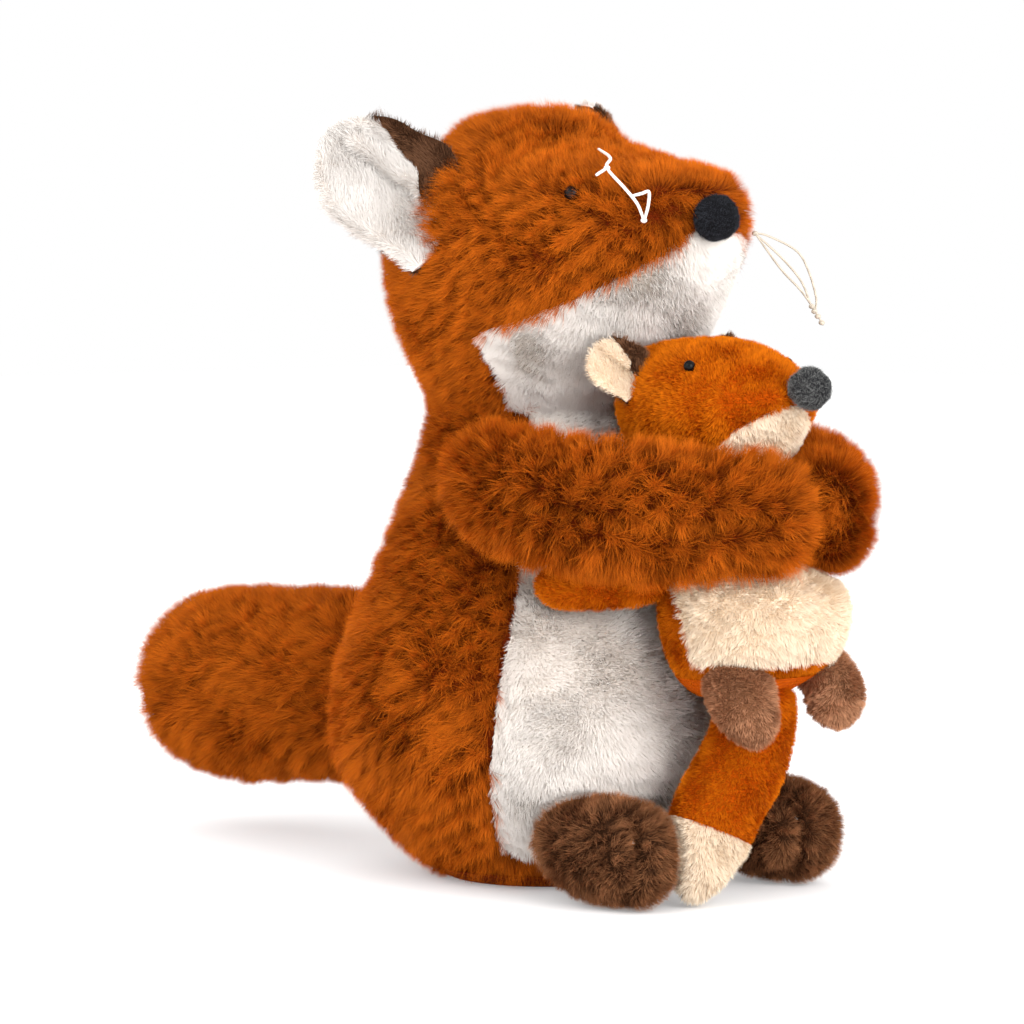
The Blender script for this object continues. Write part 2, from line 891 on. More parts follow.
LONG_RUST = Pile(RUST, 6.6, 9.5, 0.21)
SHORT_WHITE = Pile(
    WHITE, 3.9, 15.0, 0.24, rise=0.8, sway=0.26, gather=0.04, clump=5.0, scatter=0.1, is_velvet=True
)
FOOT_BROWN = Pile(BROWN, 3.9, 10.0, 0.21, Lay.FORWARD, gather=0.3, clump=3.2)
MINKY = Pile(ORANGE, 1.9, 11.0, 0.25, rise=0.76, sway=0.3, gather=0.14, clump=2.0, scatter=0.12)

NEAR_REACH = 1.0
SHORTEST = 0.5
LONGEST_SHARE = 1.3
CREASE_CUT = 0.65
TURN_BACK = 1.8
TURN_RUN = 0.07
DRIFT_SHARE = 0.45
TWIST = 0.45
WIDTHS = 0.7, 1.3
LENGTH_BY_TUFT = 0.14
LENGTH_BY_CHANCE = 0.1
TONE_BY_TUFT = 0.16
TONE_BY_CHANCE = 0.13
TONE_BY_CREASE = 0.45
VELVET_SKIN = 1.4
VELVET_LEAN = 0.8
CELL_MARGIN = 0.2
CELL_CORNERS = (0, 0), (0.6, 0), (0.3, 0.6)
NOTHING_NEAR = 99.0
FUR_SINK = 0.1
HEM = 0.8
PLUSH_EDGE = -0.02, 0.06
MINKY_EDGE = -0.02, 0.08
PANEL_GAP = 0.3
MINKY_STEP = 1.1
FILLING_DEPTH = 1.9
FILLING_LUMP_SIZE = 14.0
FILLING_SINK = 0.5
FILLING_LUMP = 0.25
BURIED = 8.0
FLOOR_LIFT = 0.15
FLOOR_GAP = 0.3
PIECE_TRIANGLES = 190_000
SWELL_CAP = 1.1
CLOTH_FRAMES = 12
PIN_LEVELS = 10
SEWN_END = 0.03
CLOTH = {
    "quality": 6,
    "mass": 0.3,
    "bending_stiffness": 0.3,
    "air_damping": 0,
    "use_pressure": True,
}


@dataclass
class Roots:
    """Where strands stand: their places on the form, their points and directions."""

    u: Array
    angle: Array
    points: Array
    normals: Array
    along: Array

    def kept(self, mask: Array) -> "Roots":
        """Keep the strands that a mask marks."""
        return Roots(*(getattr(self, name)[mask] for name in self.__dataclass_fields__))


def scatter_roots(grid: Grid, density: float, rng: np.random.Generator) -> Roots:
    """Strew roots evenly over a grid: as many to a cell as its area asks for.

    Args:
        grid: The skin's grid.
        density: Roots for each square millimetre.
        rng: The source of random numbers.

    Returns:
        The roots, each at a random place in its cell between the four corners.
    """
    p = grid.points
    diagonals = np.cross(p[1:, 1:] - p[:-1, :-1], p[1:, :-1] - p[:-1, 1:])
    wanted = 0.5 * np.linalg.norm(diagonals, axis=-1) * density
    counts = np.floor(wanted + rng.random(wanted.shape)).astype(int)
    row, column = np.divmod(np.repeat(np.arange(counts.size), counts.ravel()), counts.shape[1])
    s, t = rng.random((2, len(row)))
    climb = np.gradient(p, axis=0)

    def between(values: Array) -> Array:
        """Blend the four corners of each root's cell."""
        extra = (slice(None),) + (None,) * (values.ndim - 2)
        low = values[row, column] * (1 - t)[extra] + values[row, column + 1] * t[extra]
        high = values[row + 1, column] * (1 - t)[extra] + values[row + 1, column + 1] * t[extra]
        return low * (1 - s)[extra] + high * s[extra]

    fields = (grid.u, grid.angle, p, unit(grid.normals), unit(climb))
    u, angle, points, normals, along = (between(values) for values in fields)
    return Roots(u, angle, points, unit(normals), unit(along))


def strand_surface(
    roots: Roots, pile: Pile, reach: Array, crease: Array, rng: np.random.Generator
) -> tuple[Surface, Array, Array]:
    """Make a thin straight blade on every root.

    A blade's tip is root + L (rise normal + sway), where sway is the lay, the pull into the
    nearest tuft (the slope of a ripple field) and a random part, all along the skin.

    Args:
        roots: Where the strands stand.
        pile: How the pile grows.
        reach: The longest strand that there is room for, at each root.
        crease: From 0 to 1, how far the root lies in a sewn crease.
        rng: The source of random numbers.

    Returns:
        The blades, and each corner's run along its strand and tone.
    """
    count = len(roots.u)
    tufts = Ripple(pile.clump, seed=11)
    swirl = Ripple(pile.clump * 5, seed=12)
    height = tufts.height(roots.points)
    up = roots.normals
    lay = roots.along if pile.lay is Lay.ALONG else np.array(pile.lay.value)
    lay = lay * (1 - TURN_BACK * ease(pile.turns_at, pile.turns_at + TURN_RUN, roots.u))[:, None]
    drift = np.stack([swirl.height(roots.points + shift) for shift in (0.0, 40.0, 80.0)], -1)
    sway = pile.sway * (lay + DRIFT_SHARE * drift) + pile.gather * tufts.slope(roots.points)
    sway = sway + pile.scatter * rng.normal(size=(count, 3))
    sway = sway - dot(sway, up) * up
    length = pile.length * (1 + LENGTH_BY_TUFT * height + LENGTH_BY_CHANCE * rng.normal(size=count))
    length = np.clip(length * (1 - CREASE_CUT * crease), SHORTEST, LONGEST_SHARE * pile.length)
    length = np.minimum(length, reach)[:, None]
    tip = length * (pile.rise * up + sway)
    side = unit(np.cross(tip, up))
    twist = rng.uniform(-TWIST, TWIST, (count, 1))
    side = unit(side * np.cos(twist) + np.cross(unit(tip), side) * np.sin(twist))
    half = side * (pile.width / 2 * rng.uniform(*WIDTHS, (count, 1)))
    blade = np.stack([roots.points - half, roots.points + half, roots.points + tip], 1)
    blade[..., 2] = np.maximum(blade[..., 2], FLOOR_LIFT)
    tone = 0.5 + TONE_BY_TUFT * height + TONE_BY_CHANCE * rng.normal(size=count)
    tone = np.clip(tone - TONE_BY_CREASE * crease, 0, 1)
    surface = Surface(blade.reshape(-1, 3), triangles=np.arange(3 * count).reshape(-1, 3))
    return surface, np.tile([0.0, 0.0, 1.0], count), np.repeat(tone, 3)


def lay_out_strands(mesh: bpy.types.Mesh, count: int) -> None:
    """Give each strand its own cell of a square grid in the UV map that is baked.

    Args:
        mesh: The strands' mesh, strand after strand.
        count: How many strands there are.
    """
    across = math.ceil(math.sqrt(count))
    row, column = np.divmod(np.arange(count), across)
    low = np.stack([column, row], -1)[:, None] + CELL_MARGIN
    spots = (low + np.array(CELL_CORNERS)) / across
    layer = mesh.uv_layers.new(name="OFBake")
    layer.data.foreach_set("uv", spots.astype(np.float32).ravel())


def stroke(mesh: bpy.types.Mesh, normals: Array) -> None:
    """Shade each strand midway between its own lean and the skin that it stands on.

    Args:
        mesh: The strands' mesh, strand after strand.
        normals: The skin's normal at each strand's root.
    """
    spots = np.empty(3 * len(mesh.vertices), np.float32)
    mesh.vertices.foreach_get("co", spots)
    blade = spots.reshape(-1, 3, 3)
    ahead = unit(blade[:, 2] - blade[:, :2].mean(axis=1))
    lean = unit(VELVET_SKIN * normals - VELVET_LEAN * dot(normals, ahead) * ahead)
    mesh.normals_split_custom_set_from_vertices(np.repeat(lean, 3, axis=0))


# Dressing


@dataclass(frozen=True)
class Seam:
    """A sewn joint: up to start a piece goes with one body, and past end with the other."""

    held: str
    moving: str
    start: tuple[float, float, float]
    end: tuple[float, float, float]

    def mirrored(self) -> "Seam":
        """Give the seam of the left side from the one of the right side."""
        flip = (-1, 1, 1)
        start, end = (tuple(a * b for a, b in zip(spot, flip)) for spot in (self.start, self.end))
        return Seam(self.held, self.moving.replace("right", "left"), start, end)


def carry(piece: bpy.types.Object, carrier: str | Seam) -> None:
    """Let a piece move with a body, or bend across a seam."""
    if isinstance(carrier, Seam):
        start, end = (tuple(value * MM for value in spot) for spot in (carrier.start, carrier.end))
        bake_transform(piece)
    else:
        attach(piece, carrier)


def dress(
    piece: bpy.types.Object,
    finish: Finish,
    carrier: str | Seam,
    nodes: Sequence[str] = (),
) -> bpy.types.Object:
    """Finish a piece and report it.

    Args:
        piece: The object.
        finish: Its finish, which also names its slot.
        carrier: The body it moves with, or the seam it bends across.
        nodes: The CAD nodes that it stands for.

    Returns:
        The piece.
    """
    piece.data.materials.append(finish.material())
    carry(piece, carrier)
    if nodes:
        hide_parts(*nodes)
    log.info("%s: %d faces on %s", piece.name, len(piece.data.polygons), carrier)
    return piece


def grow(
    name: str,
    grid: Grid,
    pile: Pile,
    carrier: str | Seam,
    keep: Callable[[Roots], Array] | None = None,
    near: Sequence[Form] = (),
    crease: Callable[[Roots], Array] | None = None,
    limit: float | None = None,
) -> None:
    """Grow a pile on a skin, in pieces of fewer than 200,000 triangles.

    Args:
        name: The pile's name.
        grid: The skin's grid.
        pile: How it grows.
        carrier: The body it moves with, or the seam it bends across.
        keep: Says which roots belong to this pile.
        near: Forms that the strands stay clear of.
        crease: Says how deep each root lies in a crease.
        limit: The sideways plane that no strand crosses, for a right arm.
    """
    rng = np.random.default_rng(sum(map(ord, name)))
    roots = scatter_roots(grid, pile.density, rng)
    if keep is not None:
        roots = roots.kept(keep(roots))
    gaps = np.full(len(roots.u), NOTHING_NEAR)
    for form in near:
        gaps = np.minimum(gaps, form.gap(roots.points))
    mask = gaps > -BURIED
    roots, gaps = roots.kept(mask), gaps[mask]
    reach = np.maximum(gaps + NEAR_REACH, SHORTEST)
    depth = crease(roots) if crease is not None else np.zeros(len(roots.u))
    order = np.argsort(roots.angle, kind="stable")
    parts = max(1, math.ceil(len(order) / PIECE_TRIANGLES))
    for number, chosen in enumerate(np.array_split(order, parts)):
        surface, run, tone = strand_surface(
            roots.kept(chosen), pile, reach[chosen], depth[chosen], rng
        )
        if limit is not None:
            x = surface.corners[:, 0]
            surface.corners[:, 0] = np.minimum(x, limit) if limit < 0 else np.maximum(x, limit)
        piece = make_object(f"{name}_{number + 1}" if parts > 1 else name, surface)
        for key, values in (("run", run), ("tone", tone)):
            attribute = piece.data.attributes.new(key, "FLOAT", "POINT")
            attribute.data.foreach_set("value", values.astype(np.float32))
        lay_out_strands(piece.data, len(chosen))
        if pile.is_velvet:
            stroke(piece.data, roots.kept(chosen).normals)
        dress(piece, pile.finish, carrier)


def swell(name: str, grid: Grid, crease: Array, pressure: float, tension: float) -> None:
    """Let cloth swell a limb's cover under its filling's pressure, between its sewn creases.

    The cover is a net of springs with air pressed into it, held where it is sewn. Nothing pulls it
    down. Each point moves by d tanh(|d| / cap) cap / |d|, so none goes further than the cap.

    Args:
        name: The cover's name.
        grid: Its grid, whose points and normals are changed.
        crease: From 0 to 1, how firmly each point is sewn down.
        pressure: How hard the filling presses.
        tension: How stiff the cloth is against stretching and squeezing.
    """
    scene = bpy.context.scene
    piece = make_object(f"{name}_pattern", closed_tube(grid.points[:, :-1]))
    sewn = piece.vertex_groups.new(name="sewn")
    held = np.maximum(crease, (np.minimum(grid.u, 1 - grid.u) < SEWN_END))[:, :-1].ravel()
    for level in range(1, PIN_LEVELS + 1):
        chosen = np.flatnonzero(np.round(held * PIN_LEVELS) == level)
        sewn.add(chosen.tolist(), level / PIN_LEVELS, "REPLACE")
    sewn.add([len(held), len(held) + 1], 1.0, "REPLACE")
    cloth = piece.modifiers.new("swell", "CLOTH")
    settings = cloth.settings
    for key, value in CLOTH.items():
        setattr(settings, key, value)
    settings.uniform_pressure_force = pressure
    settings.tension_stiffness = tension
    settings.compression_stiffness = tension
    settings.vertex_group_mass = sewn.name
    settings.effector_weights.gravity = 0
    cloth.point_cache.frame_start = 1
    cloth.point_cache.frame_end = CLOTH_FRAMES
    for number in range(1, CLOTH_FRAMES + 1):
        scene.frame_set(number)
    moved = piece.evaluated_get(bpy.context.evaluated_depsgraph_get()).to_mesh()
    places = np.empty(3 * len(moved.vertices), np.float32)
    moved.vertices.foreach_get("co", places)
    count = grid.points[:, :-1].size // 3
    places = places.reshape(-1, 3)[:count].reshape(*grid.points[:, :-1].shape) / MM
    step = np.concatenate([places, places[:, :1]], 1) - grid.points
    far = np.maximum(np.linalg.norm(step, axis=-1, keepdims=True), 1e-6)
    grid.points += step / far * np.tanh(far / SWELL_CAP) * SWELL_CAP
    wrapped = np.concatenate([grid.points[:, -2:-1], grid.points, grid.points[:, 1:2]], 1)
    turn = np.gradient(wrapped, axis=1)
    grid.normals[:] = unit(np.cross(turn[:, 1:-1], np.gradient(grid.points, axis=0)))
    log.info("%s: cloth moved it by up to %.2f mm", name, float(far.max()))
    bpy.data.objects.remove(piece)
    scene.frame_set(1)


def ends_and_rows(count: int) -> Array:
    """Places along a form, closer together at its round ends."""
    return 0.5 - 0.5 * np.cos(np.linspace(0.03, math.pi - 0.03, count))


def ring(count: int) -> Array:
    """Angles all round, the last the same as the first."""
    return np.linspace(-math.pi, math.pi, count + 1)


def skin_object(name: str, grid: Grid) -> bpy.types.Object:
    """Make a closed skin from a grid that goes all round."""
    return make_object(name, closed_tube(grid.points[:, :-1]))


def fill_form(
    name: str, form: Form, rows: Array, inset: float, finish: Finish, carrier: str | Seam, node: str
) -> None:
    """Make the stuffing inside a skin: the same form, further in, with soft lumps.

    Args:
        name: The piece's name.
        form: The skin's form.
        rows: The places of its rows along the form.
        inset: How deep it lies below the form.
        finish: Its finish.
        carrier: What carries it.
        node: The CAD node that it stands for.
    """
    angle = ring(40)
    lumps = Ripple(FILLING_LUMP_SIZE, seed=5).height(form.grid(rows, angle, inset).points)
    depth = inset + FILLING_SINK + FILLING_LUMP * np.clip(lumps, -2, 2)
    dress(skin_object(name, form.grid(rows, angle, depth)), finish, carrier, [node])


def sew_panel(
    names: tuple[str, str],
    grids: tuple[Grid, Grid],
    cloth: Finish,
    pile: Pile,
    carrier: str | Seam,
    node: str,
    near: Sequence[Form],
) -> None:
    """Make a plush panel: a sheet between two grids, with its pile on the outer one.

    Args:
        names: The names of its cloth and of its pile.
        grids: Its outer and inner faces.
        cloth: The cloth's finish.
        pile: How its pile grows.
        carrier: What carries it.
        node: The CAD node that it stands for.
        near: The forms that the pile stays clear of.
    """
    panel = make_object(names[0], plate(*(grid.points for grid in grids)))
    dress(panel, cloth, carrier, [node])
    grow(names[1], grids[0], pile, carrier, None, near)


class Stacked:
    """A piece on a StackForm, whose tables give values at shares of its height."""

    rise: float
    height: float
    form: StackForm

    def step(self, share: float) -> float:
        """Find the u of a share of the height."""
        return self.form.step_at(self.rise + share * self.height)

    def at(self, share: float, angle: float, lift: float = 0.0) -> Array:
        """Give a point by its share of the height, its angle and its lift."""
        return self.form.spot(self.step(share), angle, lift)

    def looked_up(self, table: Sequence[Sequence[float]], u: Array) -> Array:
        """Read a table of shares and values at places on the form."""
        share = (smooth(self.form.rows, u)[..., 0] - self.rise) / self.height
        return np.interp(share, *np.array(table).T)


class Ball(Form):
    """A round piece: centre + half sizes (cos t sin a, cos t cos a, sin t), t from pole to pole."""

    def __init__(self, centre: Array, size: tuple[float, float, float]) -> None:
        """Keep the centre and the half sizes."""
        self.centre = np.array(centre)
        self.half = np.array(size) / 2

    def place(self, u: Array, angle: Array) -> Array:
        """See the class."""
        t = (u - 0.5) * math.pi
        level = np.cos(t)
        spots = np.stack([level * np.sin(angle), -level * np.cos(angle), np.sin(t) + 0 * angle], -1)
        return self.centre + spots * self.half

    def gap(self, points: Array) -> Array:
        """Measure along the ray from the centre."""
        share = np.linalg.norm((points - self.centre) / self.half, axis=-1)
        radius = np.linalg.norm(points - self.centre, axis=-1)
        return radius - radius / np.maximum(share, 1e-6)


def build_ball(
    name: str, ball: Ball, finish: Finish, carrier: str | Seam, node: str, lump: float, hair: Pile | None
) -> None:
    """Make a round piece, uneven where it is felt, with loose hairs on it.

    Args:
        name: The piece's name.
        ball: Its form.
        finish: Its finish.
        carrier: What carries it.
        node: The CAD node that it stands for.
        lump: How far its surface swells and sinks, in millimetres.
        hair: The loose hairs, or None.
    """
    rows = ends_and_rows(36)
    plain = ball.grid(rows, ring(48))
    lumps = Ripple(5.0, seed=21).height(plain.points) * lump
    grid = ball.grid(rows, ring(48), -lumps)
    dress(skin_object(name, grid), finish, carrier, [node])
    if hair is not None:
        grow(f"{name}_hair", grid, hair, carrier)


# Adult


@dataclass
class Torso(Stacked):
    """The pear-shaped body: rust cover, white belly panel, seat, pellet sack and filling."""

    rise: float = 0.0
    height: float = 137.5
    radius: float = 63.0
    neck: float = 34.4
    seat: float = 29.0
    seat_top: float = 4.0
    belly_foot: float = 10.0
    sack_top: float = 18.0
    skin_depth: float = 4.3
    belly_depth: float = 3.3
    backing: float = 1.6
    filling_depth: float = 6.2
    neck_rise: float = 0.28
    neck_turn: float = 0.93
    lump: float = 0.35
    lump_size: float = 34.0
    edge_gap: float = 0.025
    edge_wobble: float = 0.012
    shares: tuple[tuple[float, float], ...] = (
        (0.0145, 0.532), (0.042, 0.622), (0.08, 0.714), (0.124, 0.797), (0.167, 0.876),
        (0.225, 0.957), (0.291, 0.995), (0.36, 1.0), (0.429, 0.981), (0.502, 0.937),
        (0.582, 0.87), (0.662, 0.794), (0.742, 0.724), (0.829, 0.651), (0.916, 0.586),
    )
    belly_shares: tuple[tuple[float, float], ...] = (
        (0.073, 1.08), (0.3, 1.05), (0.42, 1.02), (0.65, 0.95), (1.0, 0.95),
    )

    def __post_init__(self) -> None:
        """Work out the form."""
        rows = [[0, self.seat, 0, self.seat, self.seat]]
        for share, width in self.shares:
            reach = width * self.radius
            rows.append([share * self.height, reach, 0, reach, reach])
        rows.append([self.height, self.neck, 0, self.neck, self.neck])
        self.form = StackForm(rows, (True, True))

    def belly_half(self, u: Array) -> Array:
        """Half the belly panel's turn at a place on the form."""
        return self.looked_up(self.belly_shares, u)

    def outside_belly(self, roots: Roots) -> Array:
        """Keep the rust roots: those beside and under the belly panel, with an uneven edge."""
        wobble = self.edge_wobble * Ripple(3.0, seed=31).height(roots.points)
        edge = self.belly_half(roots.u) + self.edge_gap + wobble
        foot = self.form.step_at(self.belly_foot)
        return (np.abs(turned(roots.angle)) > edge) | (roots.u < foot)

    def build(self, near: Sequence[Form]) -> None:
        """Build every piece of the body.

        Args:
            near: The forms that the pile stays clear of.
        """
        step = self.form.step_at
        rows = np.linspace(step(self.seat_top + 0.3), 1, 90)
        angle = ring(144)
        inside = 1 - ease(*PLUSH_EDGE, np.abs(angle) - self.belly_half(rows)[:, None])
        inside = inside * (rows > step(self.belly_foot))[:, None]
        plain = self.form.grid(rows, angle).points
        lumps = self.lump * Ripple(self.lump_size, seed=32).height(plain)
        depth = self.skin_depth + (self.belly_depth + self.backing - self.skin_depth) * inside
        skin = self.form.grid(rows, angle, depth + PANEL_GAP * inside - lumps * (1 - inside))
        skin.points[-1, :, 2] += self.neck_rise
        dress(skin_object("torso_skin", skin), RUST_CLOTH, "torso", ["torso_cover"])
        fur_rows = np.linspace(step(1.0), 1, 100)
        fur = self.form.grid(fur_rows, angle, self.skin_depth - FUR_SINK)
        pile = replace(LONG_RUST, turns_at=self.neck_turn)
        grow("torso_fur", fur, pile, "torso", self.outside_belly, near)
        self.build_belly(near)
        self.build_seat()
        sack = np.linspace(step(self.seat_top + 0.6), step(self.sack_top), 14)
        fill_form("pellet_sack", self.form, sack, self.filling_depth, PELLETS, "torso", "bean_bag")
        rest = np.linspace(step(self.sack_top + 1.0), 1, 50)
        fill_form("torso_filling", self.form, rest, self.filling_depth, FIBRE, "torso", "torso_wadding")

    def build_belly(self, near: Sequence[Form]) -> None:
        """Build the white panel: columns at equal shares of its turn in each row."""
        rows = np.linspace(self.form.step_at(self.belly_foot), 1, 80)
        shares = np.linspace(-1, 1, 70)
        angles = self.belly_half(rows)[:, None] * shares
        edge = ease(0.9, 1.0, np.abs(shares)) * HEM
        outer = self.form.grid(rows, angles, self.belly_depth + edge)
        inner = self.form.grid(rows, angles, self.belly_depth + self.backing)
        for grid in (outer, inner):
            grid.points[-1, :, 2] += self.neck_rise
        names, white = ("belly_skin", "belly_fur"), replace(SHORT_WHITE, turns_at=self.neck_turn)
        sew_panel(names, (outer, inner), WHITE_CLOTH, white, "torso", "belly_panel", near)

    def build_seat(self) -> None:
        """Build the flat seat: the lowest rows of the form, closed across the bottom."""
        rows = np.linspace(0, self.form.step_at(self.seat_top), 8)
        grid = self.form.grid(rows, ring(96), 1.0)
        grid.points[..., 2] = self.form.place(grid.u, grid.angle)[..., 2]
        dress(skin_object("seat_skin", grid), RUST_CLOTH, "torso", ["seat_panel"])


@dataclass
class Head(Stacked):
    """The adult's head: rust cover, white chin, filling, felt nose, bead eyes and whiskers."""

    rise: float = 137.8
    height: float = 87.0
    half_width: float = 47.0
    snout: float = 67.0
    back: float = 50.0
    neck: float = 34.4
    skin_depth: float = 4.3
    chin_depth: float = 3.3
    backing: float = 1.6
    filling_depth: float = 6.2
    nose_size: tuple[float, float, float] = (14.8, 10.4, 12.8)
    nose_share: float = 0.616
    eye_size: float = 4.6
    eye_share: float = 0.708
    eye_angle: float = 0.9
    eye_sink: float = 3.1
    thread: float = 0.46
    fine_thread: float = 0.32
    knot: float = 1.9
    whisker: float = 36.0
    chin_top_share: float = 0.585
    lump: float = 0.4
    lump_size: float = 30.0
    edge_wobble: float = 0.015
    shares: tuple[tuple[float, ...], ...] = (
        (0.048, 0.787, 0, 0.59, 0.7), (0.133, 0.851, 0, 0.664, 0.79), (0.221, 0.915, 0, 0.769, 0.87),
        (0.324, 0.957, 0, 0.866, 0.946), (0.416, 0.989, 0, 0.94, 0.97), (0.508, 1, 0, 0.993, 0.98),
        (0.6, 0.989, 0, 1.022, 0.97), (0.68, 0.947, 0, 1.022, 0.94), (0.744, 0.883, 0.01, 0.993, 0.88),
        (0.79, 0.798, 0.02, 0.836, 0.81), (0.83, 0.702, 0.04, 0.567, 0.75),
        (0.887, 0.574, 0.06, 0.328, 0.64), (0.945, 0.457, 0.08, 0.254, 0.52),
        (0.989, 0.245, 0.06, 0.127, 0.3), (1, 0, 0.05, -0.037, 0.05),
    )
    chin_shares: tuple[tuple[float, float], ...] = (
        (0, 1.1), (0.057, 1.17), (0.2, 1.32), (0.228, 1.34), (0.25, 1.25), (0.284, 1.04),
        (0.336, 0.81), (0.428, 0.51), (0.52, 0.25), (0.554, 0.165), (0.6, 0),
    )
    chin_far_shares: tuple[tuple[float, float], ...] = (
        (0, 1.1), (0.057, 1.17), (0.2, 1.32), (0.228, 1.34), (0.25, 1.28), (0.336, 1.0),
        (0.428, 0.85), (0.52, 0.7), (0.545, 0.5), (0.57, 0.2), (0.6, 0),
    )
    right_thread: tuple[tuple[float, float], ...] = (
        (0.608, -0.507), (0.657, -0.549), (0.705, -0.619), (0.763, -0.688), (0.795, -0.58),
        (0.827, -0.451),
    )
    right_forks: tuple[tuple[tuple[float, float], ...], ...] = (
        ((0.763, -0.688), (0.752, -0.73), (0.742, -0.765)),
        ((0.682, -0.577), (0.69, -0.53), (0.695, -0.493), (0.655, -0.492), (0.612, -0.503)),
    )
    left_root: tuple[float, float] = (0.57, 0.5)
    left_threads: tuple[tuple[tuple[float, ...], ...], ...] = (
        ((0, 0, 0), (0.24, 0.06, 0.28), (0.41, 0.11, 0.44), (0.5, 0.15, 0.56), (0.6, 0.2, 0.73)),
        ((0, 0, 0), (0.25, 0.07, 0.2), (0.42, 0.12, 0.38), (0.5, 0.15, 0.56)),
        (
            (0, 0, 0), (0.1, 0.05, 0.02), (0.33, 0.15, 0.14), (0.44, 0.18, 0.3), (0.53, 0.18, 0.5),
            (0.54, 0.17, 0.6),
        ),
    )
    left_knots: tuple[tuple[float, ...], ...] = (
        (0, 0, 0), (0.51, 0.155, 0.58), (0.53, 0.165, 0.62), (0.555, 0.18, 0.66), (0.585, 0.195, 0.71),
    )

    def __post_init__(self) -> None:
        """Work out the form, the nose and the eyes."""
        neck = [self.rise, self.neck, 0, self.neck, self.neck]
        scale = self.height, self.half_width, self.back, self.snout, self.back
        rows = scaled_rows(self.shares, scale, (self.rise, 0, 0, 0, 0))
        self.form = StackForm(np.vstack([neck, rows]), (True, False))
        self.seam = Seam("torso", "head", (0, 0, self.rise - 1), (0, 0, self.rise + 18))
        self.nose = Ball(self.at(self.nose_share, -0.04), self.nose_size)
        self.eyes = [
            Ball(self.at(self.eye_share, sign * self.eye_angle, -self.eye_sink), (self.eye_size,) * 3)
            for sign in (-1, 1)
        ]

    def chin_edges(self, u: Array) -> tuple[Array, Array]:
        """The angles of the white chin's two edges at a place on the form."""
        return -self.looked_up(self.chin_shares, u), self.looked_up(self.chin_far_shares, u)

    def outside_chin(self, roots: Roots) -> Array:
        """Keep the rust roots, with an uneven edge along the chin."""
        low, high = self.chin_edges(roots.u)
        wobble = self.edge_wobble * Ripple(3.0, seed=41).height(roots.points)
        angle = turned(roots.angle)
        return (angle < low - wobble) | (angle > high + wobble)

    def build(self, near: Sequence[Form]) -> None:
        """Build every piece of the head but the ears.

        Args:
            near: The forms that the pile stays clear of.
        """
        rows = np.concatenate([np.linspace(0, 0.93, 70), 1 - 0.07 * np.geomspace(0.94, 0.02, 14)])
        angle = ring(132)
        low, high = (edge[:, None] for edge in self.chin_edges(rows))
        inside = 1 - ease(*PLUSH_EDGE, np.maximum(low - angle, angle - high))
        plain = self.form.grid(rows, angle).points
        lumps = self.lump * Ripple(self.lump_size, seed=42).height(plain)
        under_chin = self.chin_depth + self.backing + PANEL_GAP
        depth = self.skin_depth + (under_chin - self.skin_depth) * inside
        skin = self.form.grid(rows, angle, depth - lumps * (1 - inside))
        dress(skin_object("head_skin", skin), RUST_CLOTH, self.seam, ["head_cover"])
        fur = self.form.grid(rows, angle, self.skin_depth - FUR_SINK)
        around = [*near, self.nose]
        rust = replace(LONG_RUST, lay=Lay.BACK, length=5.9)
        grow("head_fur", fur, rust, self.seam, self.outside_chin, around)
        self.build_chin(around)
        inner = np.linspace(0, 0.97, 44)
        fill_form("head_filling", self.form, inner, self.filling_depth, FIBRE, "head", "head_wadding")
        hair = Pile(BLACK_HAIR, 0.9, 9.0, 0.12, Lay.BACK, 0.5, 0.5, 0.3, 1.6, 0.5)
        build_ball("nose_felt", self.nose, BLACK_FELT, "head", "nose", 0.12, hair)
        for side, eye in zip(("right", "left"), self.eyes):
            build_ball(f"eye_{side}_bead", eye, EYE_BEAD, "head", f"eye_{side}", 0.0, None)
        self.build_whiskers()

    def build_chin(self, near: Sequence[Form]) -> None:
        """Build the white chin panel: columns at equal shares of its turn in each row."""
        rows = np.linspace(0, self.step(self.chin_top_share), 60)
        shares = np.linspace(-1, 1, 64)
        low, high = (edge[:, None] for edge in self.chin_edges(rows))
        angles = (low + high) / 2 + np.maximum((high - low) / 2, 0.03) * shares
        edge = ease(0.88, 1.0, np.abs(shares)) * HEM
        outer = self.form.grid(rows, angles, self.chin_depth + edge)
        inner = self.form.grid(rows, angles, self.chin_depth + self.backing)
        names = "chin_skin", "chin_fur"
        white = replace(SHORT_WHITE, lay=Lay.BACK, length=3.4, density=19.0)
        sew_panel(names, (outer, inner), WHITE_CLOTH, white, self.seam, "chin_panel", near)

    def thread_tube(self, spots: Array, radius: float) -> Surface:
        """Carry a circle along a smooth curve through spots, slimmer at the ends."""
        t = np.linspace(0, 1, 40)
        path = smooth(spots, t)
        ahead = unit(np.gradient(path, axis=0))
        side = unit(np.cross(ahead, np.array([0.3, -0.5, 0.81])))
        face = np.cross(side, ahead)
        turn = np.linspace(0, 2 * math.pi, 10, endpoint=False)
        width = (radius * (1 - 0.25 * np.abs(2 * t - 1) ** 6))[:, None, None]
        around = side[:, None] * np.sin(turn)[:, None] + face[:, None] * np.cos(turn)[:, None]
        return closed_tube(path[:, None] + width * around)

